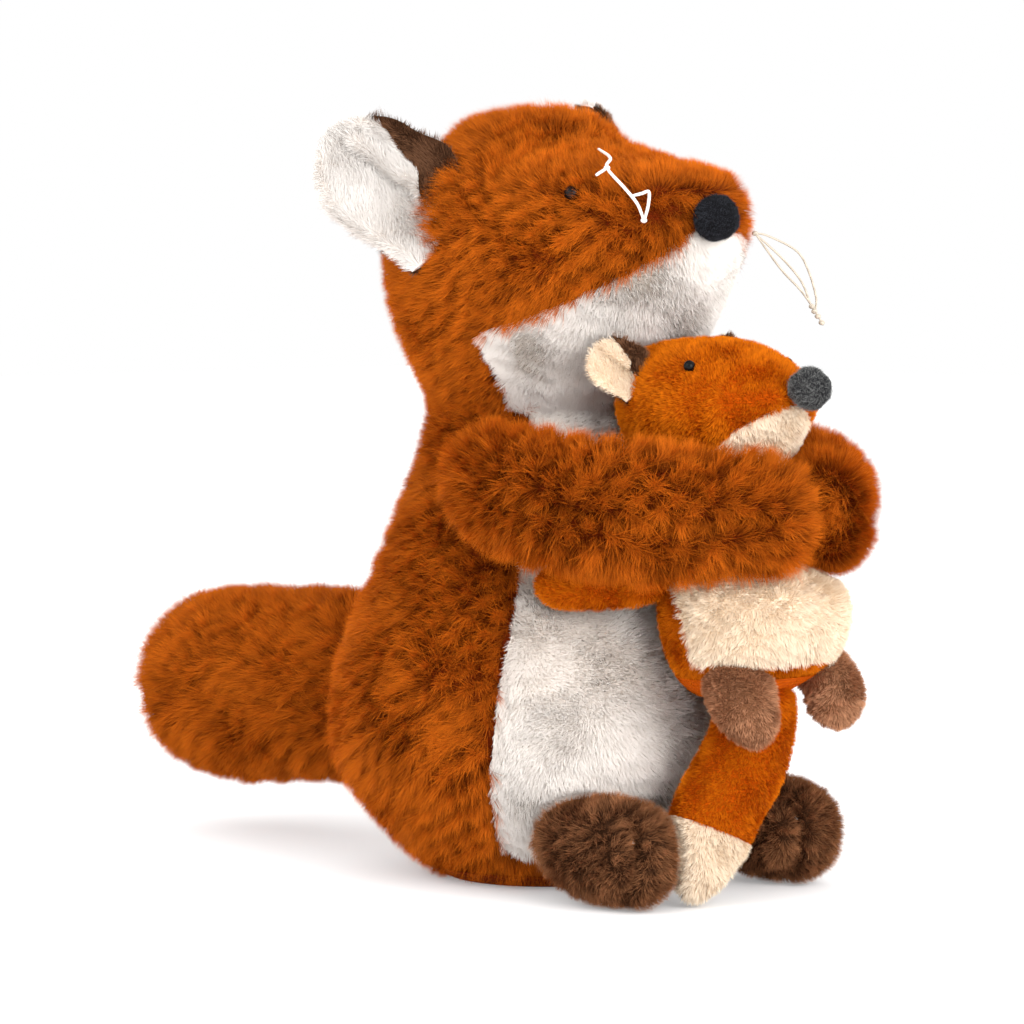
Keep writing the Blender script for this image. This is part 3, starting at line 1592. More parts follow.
    def tied(
        self, name: str, finish: Finish, radius: float, paths: Sequence[Array], knots: Sequence[Array]
    ) -> None:
        """Join a whisker's threads and knots into one piece.

        Args:
            name: The whisker's CAD node.
            finish: The thread's finish.
            radius: How thick a thread is.
            paths: The spots of each thread.
            knots: The middle of each knot.
        """
        surfaces = [self.thread_tube(path, radius) for path in paths]
        for spot in knots:
            ball = Ball(spot, (self.knot, self.knot, 0.8 * self.knot))
            surfaces.append(closed_tube(ball.grid(ends_and_rows(12), ring(14)).points[:, :-1]))
        starts = np.cumsum([0] + [len(surface.corners) for surface in surfaces])
        joined = Surface(
            np.vstack([surface.corners for surface in surfaces]),
            np.vstack([surface.quads + start for surface, start in zip(surfaces, starts)]),
            np.vstack([surface.triangles + start for surface, start in zip(surfaces, starts)]),
        )
        dress(make_object(f"{name}_thread", joined), finish, "head", [name])

    def build_whiskers(self) -> None:
        """Build the thread that lies over the right cheek and the loop on the left."""
        lift = 0.3 + self.knot / 2
        right, *forks = (
            np.array([self.at(share, angle, lift) for share, angle in spots])
            for spots in (self.right_thread, *self.right_forks)
        )
        self.tied("whisker_right", WHITE_THREAD, self.thread, [right, *forks], [right[0], right[3]])
        root = self.at(*self.left_root, lift)
        signs = np.array([1, -1, -1]) * self.whisker
        paths = [root + np.array(shares) * signs for shares in self.left_threads]
        knots = root + np.array(self.left_knots) * signs
        self.tied("whisker_left", PALE_THREAD, self.fine_thread, paths, knots)


EAR_DIRECTION = (-0.22, 0.73, 0.66)
FAR_EAR_DIRECTION = (-0.07, 0.53, 0.84)
EAR_FACING = (-0.73, -0.68, 0.1)


@dataclass
class Ears:
    """A pair of two-layer ears on a head: pale in front and brown behind."""

    seam_run = 0.02, 0.36
    fill = 0.3
    splay = 1.9
    thinning = 0.8
    turned_strip = 0.8
    fold_width = 0.055
    fold_depth = 0.9

    prefix: str
    held: str
    root: Array
    size: tuple[float, float]
    cup: float
    fold: float
    thickness: float
    front: Pile
    front_cloth: BackingFinish
    back: Pile
    far_direction: tuple[float, float, float] = EAR_DIRECTION

    def build(self) -> None:
        """Build both ears."""
        leaf, far = (
            Leaf(self.root, self.size, self.cup, self.fold, direction, EAR_FACING)
            for direction in (EAR_DIRECTION, self.far_direction)
        )
        step = self.size[0] * leaf.direction
        start, end = (self.root + share * step for share in self.seam_run)
        seam = Seam(self.held, f"{self.prefix}_right", tuple(start), tuple(end))
        self.build_one("right", leaf, leaf, seam)
        self.build_one("left", far, Mirrored(far), seam.mirrored())

    def build_one(self, side: str, leaf: Leaf, form: Form, carrier: Seam) -> None:
        """Build one ear: two thin layers, each with its pile, splayed at the rim.

        Args:
            side: Which side it is on.
            leaf: The ear's form on the right, which gives its directions and edges.
            form: This ear's form.
            carrier: The seam at its root.
        """
        name = f"{self.prefix}_{side}"
        way = 1 if side == "right" else -1
        flip = np.array([way, 1, 1])

        def wrapped(roots: Roots) -> Array:
            """Keep the roots of the strip that the pale front turns over the rim."""
            low = (way * roots.angle < 0) & (roots.u > 0.22)
            outermost = np.maximum(np.abs(roots.angle), roots.u - 0.1)
            return np.where(low, outermost, 0) > self.turned_strip

        def brown(roots: Roots) -> Array:
            """Keep the rest of the back."""
            return ~wrapped(roots)

        def crease(roots: Roots) -> Array:
            """The slit: a bell across the leaf."""
            away = (way * roots.angle - leaf.slit(roots.u)) / self.fold_width
            return self.fold_depth * bell(away) * (1 - ease(0.78, 0.88, roots.u))

        def sheet(rows: Array, low: Array | float, high: Array | float, sides: Array) -> list[Grid]:
            """Lay a layer's two faces between two edges, at shares of the ear's lens."""
            low, high = (np.broadcast_to(edge, rows.shape)[:, None] for edge in (low, high))
            angles = (way * (low + (high - low) * np.linspace(0, 1, 50)))[:, ::way]
            tip = np.maximum(rows[:, None] - 0.02, 0) ** 12
            lens = 1 - self.thinning * np.maximum(np.abs(angles) ** 5, tip)
            deep = self.thickness / 2 - 0.5 * self.front.length * self.front.rise
            return [form.grid(rows, angles, side[0] + side[1] * deep * lens) for side in sides]

        u = np.concatenate([np.linspace(-0.12, 0.9, 46), 1 - 0.1 * np.geomspace(0.85, 0.02, 10)])
        low = u[u < 0.9]
        before, behind = ((0.0, -1.0), (-0.1, 0.0)), ((0.1, 0.0), (0.0, 1.0))
        front = sheet(u, -1.0, np.minimum(leaf.edge(u), 1), before)
        brow = sheet(low, leaf.edge(low), 1.0, before)
        back = sheet(u[u < 0.98], -0.94, 0.94, behind)
        for label, grids, cloth, nodes in (
            ("front", front, self.front_cloth, [f"{name}_front"]),
            ("brow", brow, BROWN_CLOTH, []),
            ("back", back, BROWN_CLOTH, [f"{name}_back"]),
        ):
            ear = make_object(f"{name}_{label}_skin", plate(grids[0].points, grids[1].points))
            dress(ear, cloth, carrier, nodes)
        across, ahead = way * leaf.across * flip, leaf.direction * flip
        for grid, facing, pile, keep, folds, label in (
            (front[0], 1, self.front, None, crease, "front_fur"),
            (brow[0], 1, self.back, None, None, "brow_fur"),
            (back[1], -1, self.back, brown, None, "back_fur"),
            (back[1], -1, self.front, wrapped, None, "rim_fur"),
        ):
            rim = (ease(0.75, 1.0, np.abs(grid.angle)) * np.sign(grid.angle))[..., None]
            tip = ease(0.85, 1.0, grid.u)[..., None]
            spread = self.splay * rim * across + self.splay * tip * ahead
            normals = unit(facing * grid.normals + spread)
            rooted = Grid(grid.u, grid.angle, grid.points, normals)
            grow(f"{name}_{label}", rooted, pile, carrier, keep, crease=folds)


@dataclass
class Arms:
    """The arms that hug the cub, their palms pressed together before its chest."""

    spread: float = 49.0
    reach: float = 105.0
    rise: float = 114.0
    thickness: float = 28.0
    height: float = 38.0
    skin_depth: float = 4.3
    palm_gap: float = 0.5
    pile_gap: float = 0.25
    filling_gap: float = 1.5
    press_gap: float = 0.8
    crease_angle: float = 1.77
    crease_width: float = 0.1
    crease_bow: float = 3.0
    crease_middle: float = 0.63
    crease_wave: float = 0.03
    crease_depth: float = 3.0
    pressure: float = 1000.0
    tension: float = 3.0
    ends: tuple[float, float] = (0.12, 0.12)
    shares: tuple[tuple[float, ...], ...] = (
        (0.55, 0.03, 0.12, 0.9, 0.8), (0.82, 0.16, 0.07, 1, 0.97), (0.98, 0.34, 0.03, 1, 1.02),
        (0.99, 0.5, -0.02, 1, 1.05), (0.84, 0.66, -0.07, 1, 1.07), (0.56, 0.805, -0.1, 1, 1.04),
        (0.27, 0.925, -0.12, 0.97, 0.95), (0.02, 1, -0.13, 0.9, 0.82),
    )

    def __post_init__(self) -> None:
        """Work out both forms."""
        scale = -self.spread, -self.reach, self.height, self.thickness / 2, self.height / 2
        rows = scaled_rows(self.shares, scale, (0, 0, self.rise, 0, 0))
        self.right = LimbForm(rows, self.ends)
        self.left = Mirrored(self.right)
        self.seam = Seam("torso", "arm_right", (-42, 0, self.rise), (-46, -30, self.rise))

    def groove(self, u: Array, angle: Array) -> Array:
        """The sewn crease along the outer side: a bell across the angle, faded at both ends."""
        wide = self.crease_width + self.crease_wave * np.sin(9 * u)
        bow = self.crease_bow * (u - self.crease_middle) ** 2
        line = self.crease_angle - bow + self.crease_wave * np.sin(21 * u)
        across = bell((np.abs(turned(angle)) - line) / wide)
        return across * ease(0.3, 0.42, u) * (1 - ease(0.8, 0.93, u))

    def build(self, torso: StackForm, cub: StackForm, cub_head: StackForm) -> None:
        """Build both arms, dented where they press on the cub.

        Args:
            torso: The body's form.
            cub: The form of the cub's body.
            cub_head: The form of the cub's head.
        """
        rows = ends_and_rows(84)
        for side, form, carrier, way in (
            ("right", self.right, self.seam, -1),
            ("left", self.left, self.seam.mirrored(), 1),
        ):
            outer_side = -way

            def crease(roots: Roots, outer_side: int = outer_side) -> Array:
                """Only the outer side has the crease."""
                return self.groove(roots.u, roots.angle) * (turned(roots.angle) * outer_side > 0)

            grid = form.grid(rows, ring(72), self.skin_depth)
            groove = self.groove(grid.u, grid.angle) * (turned(grid.angle) * outer_side > 0)
            grid.points -= grid.normals * (self.crease_depth * groove)[..., None]
            name = f"arm_{side}"
            swell(name, grid, groove, self.pressure, self.tension)
            for other in (cub, cub_head):
                grid.points = other.pushed(grid.points, self.press_gap)
            grid.points[..., 0] = way * np.maximum(way * grid.points[..., 0], self.palm_gap)
            dress(skin_object(f"{name}_skin", grid), RUST_CLOTH, carrier, [f"{name}_cover"])
            pile = replace(LONG_RUST, lay=Lay.ALONG, sway=0.25, length=7.2, gather=0.5)
            near = [torso, cub, cub_head]
            grow(f"{name}_fur", grid, pile, carrier, None, near, crease, way * self.pile_gap)
            gap = way * self.filling_gap
            fill_limb(f"{name}_filling", grid, carrier, f"{name}_wadding", gap)


def fill_limb(
    name: str, skin: Grid, carrier: str | Seam, node: str, limit: float | None = None
) -> None:
    """Make a limb's filling from its finished skin, moved in along its normals.

    Args:
        name: The piece's name.
        skin: The skin's grid.
        carrier: What carries it.
        node: The CAD node that it stands for.
        limit: The sideways plane that it stays clear of.
    """
    points = skin.points[1:-1:2, :-1:2] - FILLING_DEPTH * skin.normals[1:-1:2, :-1:2]
    if limit is not None:
        way = math.copysign(1, limit)
        points[..., 0] = way * np.maximum(way * points[..., 0], way * limit)
    dress(make_object(name, closed_tube(points)), FIBRE, carrier, [node])


@dataclass
class Feet:
    """The brown feet, each with one seam that parts its toes."""

    spread: float = 34.0
    length: float = 50.0
    width: float = 30.0
    height: float = 32.0
    toe: float = 80.0
    sole_cut: float = 0.5
    toe_aside: float = 6.5
    parting_width: float = 1.8
    parting_run: tuple[float, float] = (6.0, 17.0)
    parting_depth: float = 5.0
    pressure: float = 10000.0
    tension: float = 0.5
    skin_depth: float = 2.9
    ends: tuple[float, float] = (0.25, 0.3)
    shares: tuple[tuple[float, ...], ...] = (
        (0.98, 0.6, 0.7, 0.6), (0.76, 0.58, 0.88, 0.82), (0.53, 0.53, 1, 0.96), (0.31, 0.5, 1, 1),
        (0.11, 0.46, 0.97, 0.92), (0, 0.44, 0.9, 0.86),
    )

    def __post_init__(self) -> None:
        """Work out both forms."""
        scale = self.length, self.height, self.width / 2, self.height / 2
        rows = scaled_rows(self.shares, scale, (-self.toe, -self.sole_cut, 0, 0))
        self.right = LimbForm(np.insert(rows, 0, -self.spread, axis=1), self.ends)
        self.left = Mirrored(self.right)
        x = -self.spread
        self.seam = Seam("torso", "foot_right", (x - 2, -36, 14), (x, -54, 14))

    def parting(self, points: Array) -> Array:
        """The toe seam: a bell across each foot, to one side of its middle, at the front."""
        middle = np.sign(points[..., 0]) * self.spread - self.toe_aside
        aside = (points[..., 0] - middle) / self.parting_width
        return bell(aside) * (1 - ease(*self.parting_run, points[..., 1] + self.toe))

    def toe_crease(self, roots: Roots) -> Array:
        """Shorten the pile in the toe seam."""
        return self.parting(roots.points)

    def build(self, torso: StackForm, near: Sequence[Form]) -> None:
        """Build both feet.

        Args:
            torso: The body's form.
            near: The cub's forms that the pile stays clear of.
        """
        rows = ends_and_rows(60)
        for side, form, carrier in (
            ("right", self.right, self.seam),
            ("left", self.left, self.seam.mirrored()),
        ):
            grid = form.grid(rows, ring(64), self.skin_depth)
            parting = self.parting(grid.points)
            grid.points -= grid.normals * (self.parting_depth * parting)[..., None]
            name = f"foot_{side}"
            swell(name, grid, parting, self.pressure, self.tension)
            grid.points[..., 2] = np.maximum(grid.points[..., 2], FLOOR_GAP)
            dress(skin_object(f"{name}_skin", grid), BROWN_CLOTH, carrier, [f"{name}_cover"])
            forms = [torso, *near]
            grow(f"{name}_fur", grid, FOOT_BROWN, carrier, None, forms, self.toe_crease)
            fill_limb(f"{name}_filling", grid, carrier, f"{name}_wadding")


@dataclass
class Tail:
    """The adult's thick tail."""

    length: float = 112.0
    radius: float = 29.0
    rise: float = 48.0
    body_radius: float = 63.0
    sink: float = 10.0
    lump: float = 0.45
    lump_size: float = 26.0
    seam_angle: float = 1.62
    seam_wave: float = 0.08
    seam_width: float = 0.05
    seam_depth: float = 2.0
    pressure: float = 5000.0
    tension: float = 3.0
    skin_depth: float = 4.3
    ends: tuple[float, float] = (0.08, 0.2)
    shares: tuple[tuple[float, ...], ...] = (
        (0, 1.02, 0.72, 0.86), (0.18, 1.02, 0.8, 0.97), (0.42, 1, 0.97, 1), (0.66, 0.97, 1.02, 1.02),
        (0.86, 0.93, 0.97, 0.97), (1, 0.88, 0.9, 0.9),
    )

    def __post_init__(self) -> None:
        """Work out the form."""
        root = self.body_radius - self.sink
        scale = self.length, self.rise, self.radius, self.radius
        rows = scaled_rows(self.shares, scale, (root, 0, 0, 0))
        self.form = LimbForm(np.insert(rows, 0, 0, axis=1), self.ends)
        self.seam = Seam("torso", "tail", (0, root + 6, self.rise), (0, root + 26, self.rise))

    def side_seam(self, roots: Roots) -> Array:
        """The seam along each side: a shallow bell across the angle."""
        line = self.seam_angle + self.seam_wave * np.sin(8 * roots.u)
        away = (np.abs(turned(roots.angle)) - line) / self.seam_width
        return 0.7 * bell(away) * (1 - ease(0.85, 0.97, roots.u))

    def build(self, torso: StackForm) -> None:
        """Build the tail.

        Args:
            torso: The body's form.
        """
        rows = ends_and_rows(84)
        angle = ring(96)
        plain = self.form.grid(rows, angle).points
        lumps = self.lump * Ripple(self.lump_size, seed=52).height(plain)
        grid = self.form.grid(rows, angle, self.skin_depth - lumps)
        seam = self.side_seam(Roots(grid.u, grid.angle, grid.points, grid.normals, grid.normals))
        grid.points -= grid.normals * (self.seam_depth * seam)[..., None]
        swell("tail", grid, seam, self.pressure, self.tension)
        dress(skin_object("tail_skin", grid), RUST_CLOTH, self.seam, ["tail_cover"])
        pile = replace(LONG_RUST, lay=Lay.ALONG)
        grow("tail_fur", grid, pile, self.seam, None, [torso], self.side_seam)
        fill_limb("tail_filling", grid, self.seam, "tail_wadding")


# Cub


@dataclass
class CubBody(Stacked):
    """The cub's body: orange back, cream belly, arms stitched round the adult."""

    rise: float = 57.0
    height: float = 62.0
    width: float = 52.0
    front: float = 106.0
    arm_width: float = 11.0
    flatness: float = 0.9
    skin_depth: float = 1.4
    backing: float = 1.0
    belly_foot_share: float = 0.182
    edge_wobble: float = 0.02
    filling_depth: float = 3.4
    shares: tuple[tuple[float, ...], ...] = (
        (0, 0, 0.717, 0.717, -0.717), (0.024, 0.46, 0.717, 0.81, -0.62),
        (0.097, 0.73, 0.74, 0.896, -0.56), (0.194, 0.905, 0.78, 0.976, -0.52),
        (0.323, 1, 0.8, 1.014, -0.5), (0.468, 1.02, 0.79, 1.009, -0.49),
        (0.581, 0.923, 0.75, 0.953, -0.472), (0.694, 0.769, 0.689, 0.849, -0.453),
        (0.847, 0.692, 0.651, 0.792, -0.434), (1, 0.673, 0.632, 0.764, -0.415),
    )
    belly_shares: tuple[tuple[float, float], ...] = ((0.182, 1.75), (0.54, 1.9), (1, 1.9))
    arm_shares: tuple[tuple[float, ...], ...] = (
        (0.3, 0.66, 0.58, 0.95), (0.54, 0.585, 0.535, 1.25), (0.71, 0.465, 0.52, 1.3),
        (0.81, 0.345, 0.52, 1.15),
    )

    def __post_init__(self) -> None:
        """Work out the forms of the body and the right arm."""
        start = self.rise, 0, 0, 0, 0
        scale = self.height, self.width / 2, -self.front, self.front, self.front
        self.form = StackForm(scaled_rows(self.shares, scale, start), (False, True))
        half = self.arm_width / 2
        scale = -self.width, -self.front, self.height, self.flatness * half, half
        rows = scaled_rows(twice_round(self.arm_shares), scale, (0, 0, self.rise, 0, 0))
        self.arm = LimbForm(rows, (0.15, 0.2))

    def belly_half(self, u: Array) -> Array:
        """Half the cream belly's turn at a place on the form."""
        return self.looked_up(self.belly_shares, u)

    def outside_belly(self, roots: Roots) -> Array:
        """Keep the orange roots, with an uneven edge."""
        wobble = self.edge_wobble * Ripple(2.5, seed=61).height(roots.points)
        edge = self.belly_half(roots.u) + wobble
        foot = self.step(self.belly_foot_share)
        return (np.abs(turned(roots.angle)) > edge) | (roots.u < foot)

    def build(self, near: Sequence[Form]) -> None:
        """Build the body and the arms.

        Args:
            near: The forms that the pile stays clear of.
        """
        rows = np.concatenate([np.geomspace(0.004, 0.1, 12), np.linspace(0.12, 1, 50)])
        angle = ring(90)
        inside = 1 - ease(*MINKY_EDGE, np.abs(angle) - self.belly_half(rows)[:, None])
        foot = self.step(self.belly_foot_share)
        inside = inside * (rows > foot)[:, None]
        skin = self.form.grid(rows, angle, self.skin_depth + MINKY_STEP * inside)
        dress(skin_object("cub_body_skin", skin), ORANGE_CLOTH, "torso", ["cub_body_cover"])
        fur = self.form.grid(rows, angle, self.skin_depth)
        grow("cub_body_pile", fur, MINKY, "torso", self.outside_belly, near)
        belly_rows = np.linspace(foot, 1, 50)
        angles = self.belly_half(belly_rows)[:, None] * np.linspace(-1, 1, 76)
        outer = self.form.grid(belly_rows, angles, self.skin_depth)
        inner = self.form.grid(belly_rows, angles, self.skin_depth + self.backing)
        names = "cub_belly_skin", "cub_belly_pile"
        cream = replace(MINKY, finish=CREAM, length=2.6, gather=0.3, clump=3.0)
        sew_panel(names, (outer, inner), CREAM_CLOTH, cream, "torso", "cub_belly_panel", near)
        name, node, inner_rows = "cub_body_filling", "cub_body_wadding", np.linspace(0.06, 1, 30)
        fill_form(name, self.form, inner_rows, self.filling_depth, FIBRE, "torso", node)
        for side, form in (("right", self.arm), ("left", Mirrored(self.arm))):
            grid = form.grid(ends_and_rows(44), ring(40), self.skin_depth)
            arm = skin_object(f"cub_arm_{side}_skin", grid)
            dress(arm, ORANGE_CLOTH, "torso", [f"cub_arm_{side}"])
            grow(f"cub_arm_{side}_pile", grid, replace(MINKY, lay=Lay.ALONG), "torso", None, near)


@dataclass
class CubHead(Stacked):
    """The cub's head: orange cover, cream chin, felted nose, bead eyes and small ears."""

    rise: float = 119.3
    height: float = 39.5
    width: float = 54.0
    length: float = 50.0
    forward: float = 67.0
    skin_depth: float = 1.4
    backing: float = 1.0
    nose_size: float = 11.5
    nose_share: float = 0.6
    nose_lift: float = 0.33
    eye_size: float = 3.3
    eye_sink: float = 0.5
    eye_share: float = 0.8
    eye_angle: float = 1.15
    chin_top_share: float = 0.49
    edge_wobble: float = 0.015
    filling_depth: float = 3.4
    shares: tuple[tuple[float, ...], ...] = (
        (0, 0.648, 0, 0.28, 0.4), (0.094, 0.741, 0, 0.4, 0.5), (0.271, 0.889, 0, 0.51, 0.56),
        (0.448, 1, 0, 0.58, 0.59), (0.6, 0.981, 0, 0.62, 0.6), (0.752, 0.889, 0, 0.48, 0.58),
        (0.866, 0.741, 0.01, 0.34, 0.52), (0.954, 0.463, 0.02, 0.19, 0.34), (1, 0, 0.02, -0.02, 0.02),
    )
    chin_shares: tuple[tuple[float, float], ...] = (
        (0, 1), (0.15, 0.95), (0.3, 0.72), (0.42, 0.4), (0.5, 0.12), (0.54, 0),
    )

    def __post_init__(self) -> None:
        """Work out the form, the nose and the eyes."""
        scale = self.height, self.width / 2, self.length, self.length, self.length
        start = self.rise, 0, -self.forward, self.forward, -self.forward
        self.form = StackForm(scaled_rows(self.shares, scale, start), (True, False))
        self.seam = Seam(
            "torso", "cub_head", (0, -self.forward, self.rise - 1), (0, -self.forward, self.rise + 8)
        )
        tip = self.at(self.nose_share, 0, self.nose_lift * self.nose_size)
        self.nose = Ball(tip, (self.nose_size,) * 3)
        self.eyes = [
            Ball(self.at(self.eye_share, sign * self.eye_angle, -self.eye_sink), (self.eye_size,) * 3)
            for sign in (-1, 1)
        ]

    def chin_half(self, u: Array) -> Array:
        """Half the cream chin's turn at a place on the form."""
        return self.looked_up(self.chin_shares, u)

    def outside_chin(self, roots: Roots) -> Array:
        """Keep the orange roots."""
        wobble = self.edge_wobble * Ripple(2.5, seed=71).height(roots.points)
        return np.abs(turned(roots.angle)) > self.chin_half(roots.u) + wobble

    def build(self, near: Sequence[Form]) -> None:
        """Build every piece of the cub's head but the ears.

        Args:
            near: The forms that the pile stays clear of.
        """
        rows = np.concatenate([np.linspace(0, 0.9, 50), 1 - 0.1 * np.geomspace(0.92, 0.02, 14)])
        angle = ring(90)
        inside = 1 - ease(*MINKY_EDGE, np.abs(angle) - self.chin_half(rows)[:, None])
        skin = self.form.grid(rows, angle, self.skin_depth + MINKY_STEP * inside)
        dress(skin_object("cub_head_skin", skin), ORANGE_CLOTH, self.seam, ["cub_head_cover"])
        around = [*near, self.nose, *self.eyes]
        fur = self.form.grid(rows, angle, self.skin_depth)
        pile = replace(MINKY, lay=Lay.BACK)
        grow("cub_head_pile", fur, pile, self.seam, self.outside_chin, around)
        chin_rows = np.linspace(0, self.step(self.chin_top_share), 36)
        half = np.maximum(self.chin_half(chin_rows), 0.04)[:, None]
        angles = half * np.linspace(-1, 1, 44)
        outer = self.form.grid(chin_rows, angles, self.skin_depth)
        inner = self.form.grid(chin_rows, angles, self.skin_depth + self.backing)
        names, node = ("cub_chin_skin", "cub_chin_pile"), "cub_chin_panel"
        cream = replace(MINKY, finish=CREAM, length=2.2, gather=0.25, clump=3.0)
        sew_panel(names, (outer, inner), CREAM_CLOTH, cream, self.seam, node, around)
        name, node, inner_rows = "cub_head_filling", "cub_head_wadding", np.linspace(0, 0.95, 28)
        fill_form(name, self.form, inner_rows, self.filling_depth, FIBRE, "cub_head", node)
        hair = Pile(GREY_HAIR, 1.0, 9.0, 0.12, Lay.BACK, 0.5, 0.5, 0.3, 1.6, 0.5)
        build_ball("cub_nose_felt", self.nose, GREY_FELT, "cub_head", "cub_nose", 0.22, hair)
        for side, eye in zip(("right", "left"), self.eyes):
            build_ball(f"cub_eye_{side}_bead", eye, EYE_BEAD, "cub_head", f"cub_eye_{side}", 0.0, None)


@dataclass
class CubLimbs:
    """The cub's legs and its tail with a cream tip, which hangs down beside a foot."""

    rise: float = 57.0
    leg_length: float = 30.0
    leg_width: float = 20.0
    leg_spread: float = 19.0
    left_lift: float = 4.0
    leg_forward: float = 94.0
    tail_rise: float = 66.0
    tail_width: float = 25.0
    front: float = 106.0
    flatness: float = 0.9
    skin_depth: float = 1.4
    tip_seam_share: float = 0.77
    sole_width: float = 0.9
    sole_run: tuple[float, float] = (-103.0, -98.0)
    sole_depth: float = 1.2
    press_gap: float = 0.3
    filling_floor: float = 2.4
    pressure: float = 10000.0
    tension: float = 0.5
    leg_shares: tuple[tuple[tuple[float, ...], ...], ...] = (
        (
            (0.5, -0.85, 0.5, 0.65), (0.72, -0.5, 0.3, 0.98), (0.94, 0, 0.04, 1),
            (1.0, 0.3, -0.18, 0.82), (1.03, 0.44, -0.36, 0.62),
        ),
        (
            (0.6, -0.85, 0.5, 0.6), (0.82, -0.5, 0.3, 0.86), (1.04, -0.05, 0.02, 0.9),
            (1.04, 0.08, -0.24, 0.86), (1.04, 0.1, -0.44, 0.76),
        ),
    )
    tail_shares: tuple[tuple[float, ...], ...] = (
        (0, 0.783, 1, 0.8), (-0.01, 0.779, 0.864, 1), (-0.04, 0.772, 0.72, 1.04),
        (-0.15, 0.752, 0.576, 1.08), (-0.36, 0.725, 0.424, 1.08), (-0.55, 0.71, 0.25, 1.06),
        (-0.74, 0.705, 0.02, 0.96),
    )

    def __post_init__(self) -> None:
        """Work out the forms of both legs and the tail."""
        self.legs = [self.leg(-1, 0.0), self.leg(1, self.left_lift)]
        half = self.tail_width / 2
        scale = self.tail_width, -self.front, self.tail_rise, half, self.flatness * half
        rows = scaled_rows(twice_round(self.tail_shares), scale, 0)
        self.tail = LimbForm(rows, (0.15, 0.28), (0.0, -1.0, 0.0))

    def leg(self, side: int, lift: float) -> LimbForm:
        """Work out one leg's form."""
        half, length = self.leg_width / 2, self.leg_length
        scale = side * self.leg_spread, -length / 2, length, half, self.flatness * half
        start = 0, -self.leg_forward, self.rise + lift, 0, 0
        rows = scaled_rows(twice_round(self.leg_shares[side > 0]), scale, start)
        return LimbForm(rows, (0.3, 0.35))

    def sole_seam(self, points: Array) -> Array:
        """The small seam that parts the toes: a bell across the leg's end."""
        aside = (np.abs(points[..., 0]) - 1.15 * self.leg_spread) / self.sole_width
        return 0.8 * bell(aside) * (1 - ease(*self.sole_run, points[..., 1]))

    def build(self, cub: StackForm, feet: Sequence[Form], torso: StackForm) -> None:
        """Build the legs and the tail.

        Args:
            cub: The form of the cub's body.
            feet: The adult's feet.
            torso: The adult's body.
        """
        pile = replace(MINKY, finish=TAN, lay=Lay.ALONG, length=2.0)
        for side, form, x, lift in zip(("right", "left"), self.legs, (-1, 1), (0.0, self.left_lift)):
            grid = form.grid(ends_and_rows(50), ring(48), self.skin_depth)
            sole = self.sole_seam(grid.points)
            grid.points -= grid.normals * (self.sole_depth * sole)[..., None]
            name = f"cub_leg_{side}"
            swell(name, grid, sole, self.pressure, self.tension)
            seam = Seam("torso", name, (x * 17, -84, 68 + lift), (x * 20, -97, 60 + lift))
            dress(skin_object(f"{name}_skin", grid), TAN_CLOTH, seam, [name])
            grow(f"{name}_pile", grid, pile, seam, None, [cub], lambda r: self.sole_seam(r.points))
        self.build_tail([cub, torso, *self.legs, *feet])

    def build_tail(self, near: Sequence[Form]) -> None:
        """Build the tail's orange cover, its cream tip and its filling."""
        seam = Seam("torso", "cub_tail", (0, -83, 64), (0, -82, 52))
        edge = self.tip_seam_share
        ends = ends_and_rows(90)
        cover_rows = np.append(ends[ends < edge - 0.01], edge)
        tip_rows = np.append(edge, ends[ends > edge + 0.01])
        for name, rows, cloth, finish, node in (
            ("cub_tail", cover_rows, ORANGE_CLOTH, ORANGE, "cub_tail_cover"),
            ("cub_tail_tip", tip_rows, CREAM_CLOTH, CREAM, "cub_tail_tip"),
        ):
            grid = self.tail.grid(rows, ring(56), self.skin_depth)
            grid.points = near[0].pushed(grid.points, self.press_gap)
            grid.points[..., 2] = np.maximum(grid.points[..., 2], FLOOR_GAP)
            dress(skin_object(f"{name}_skin", grid), cloth, seam, [node])
            is_tip = finish is CREAM
            pile = replace(MINKY, finish=finish, lay=Lay.ALONG, length=2.8 if is_tip else 1.9)
            pile = replace(pile, gather=0.3 if is_tip else 0.14)
            grow(f"{name}_pile", grid, pile, seam, None, near)
        inner = self.tail.grid(ends_and_rows(46), ring(48), self.skin_depth)
        inner.points[..., 2] = np.maximum(inner.points[..., 2], self.filling_floor)
        fill_limb("cub_tail_filling", inner, seam, "cub_tail_wadding")


# Studio


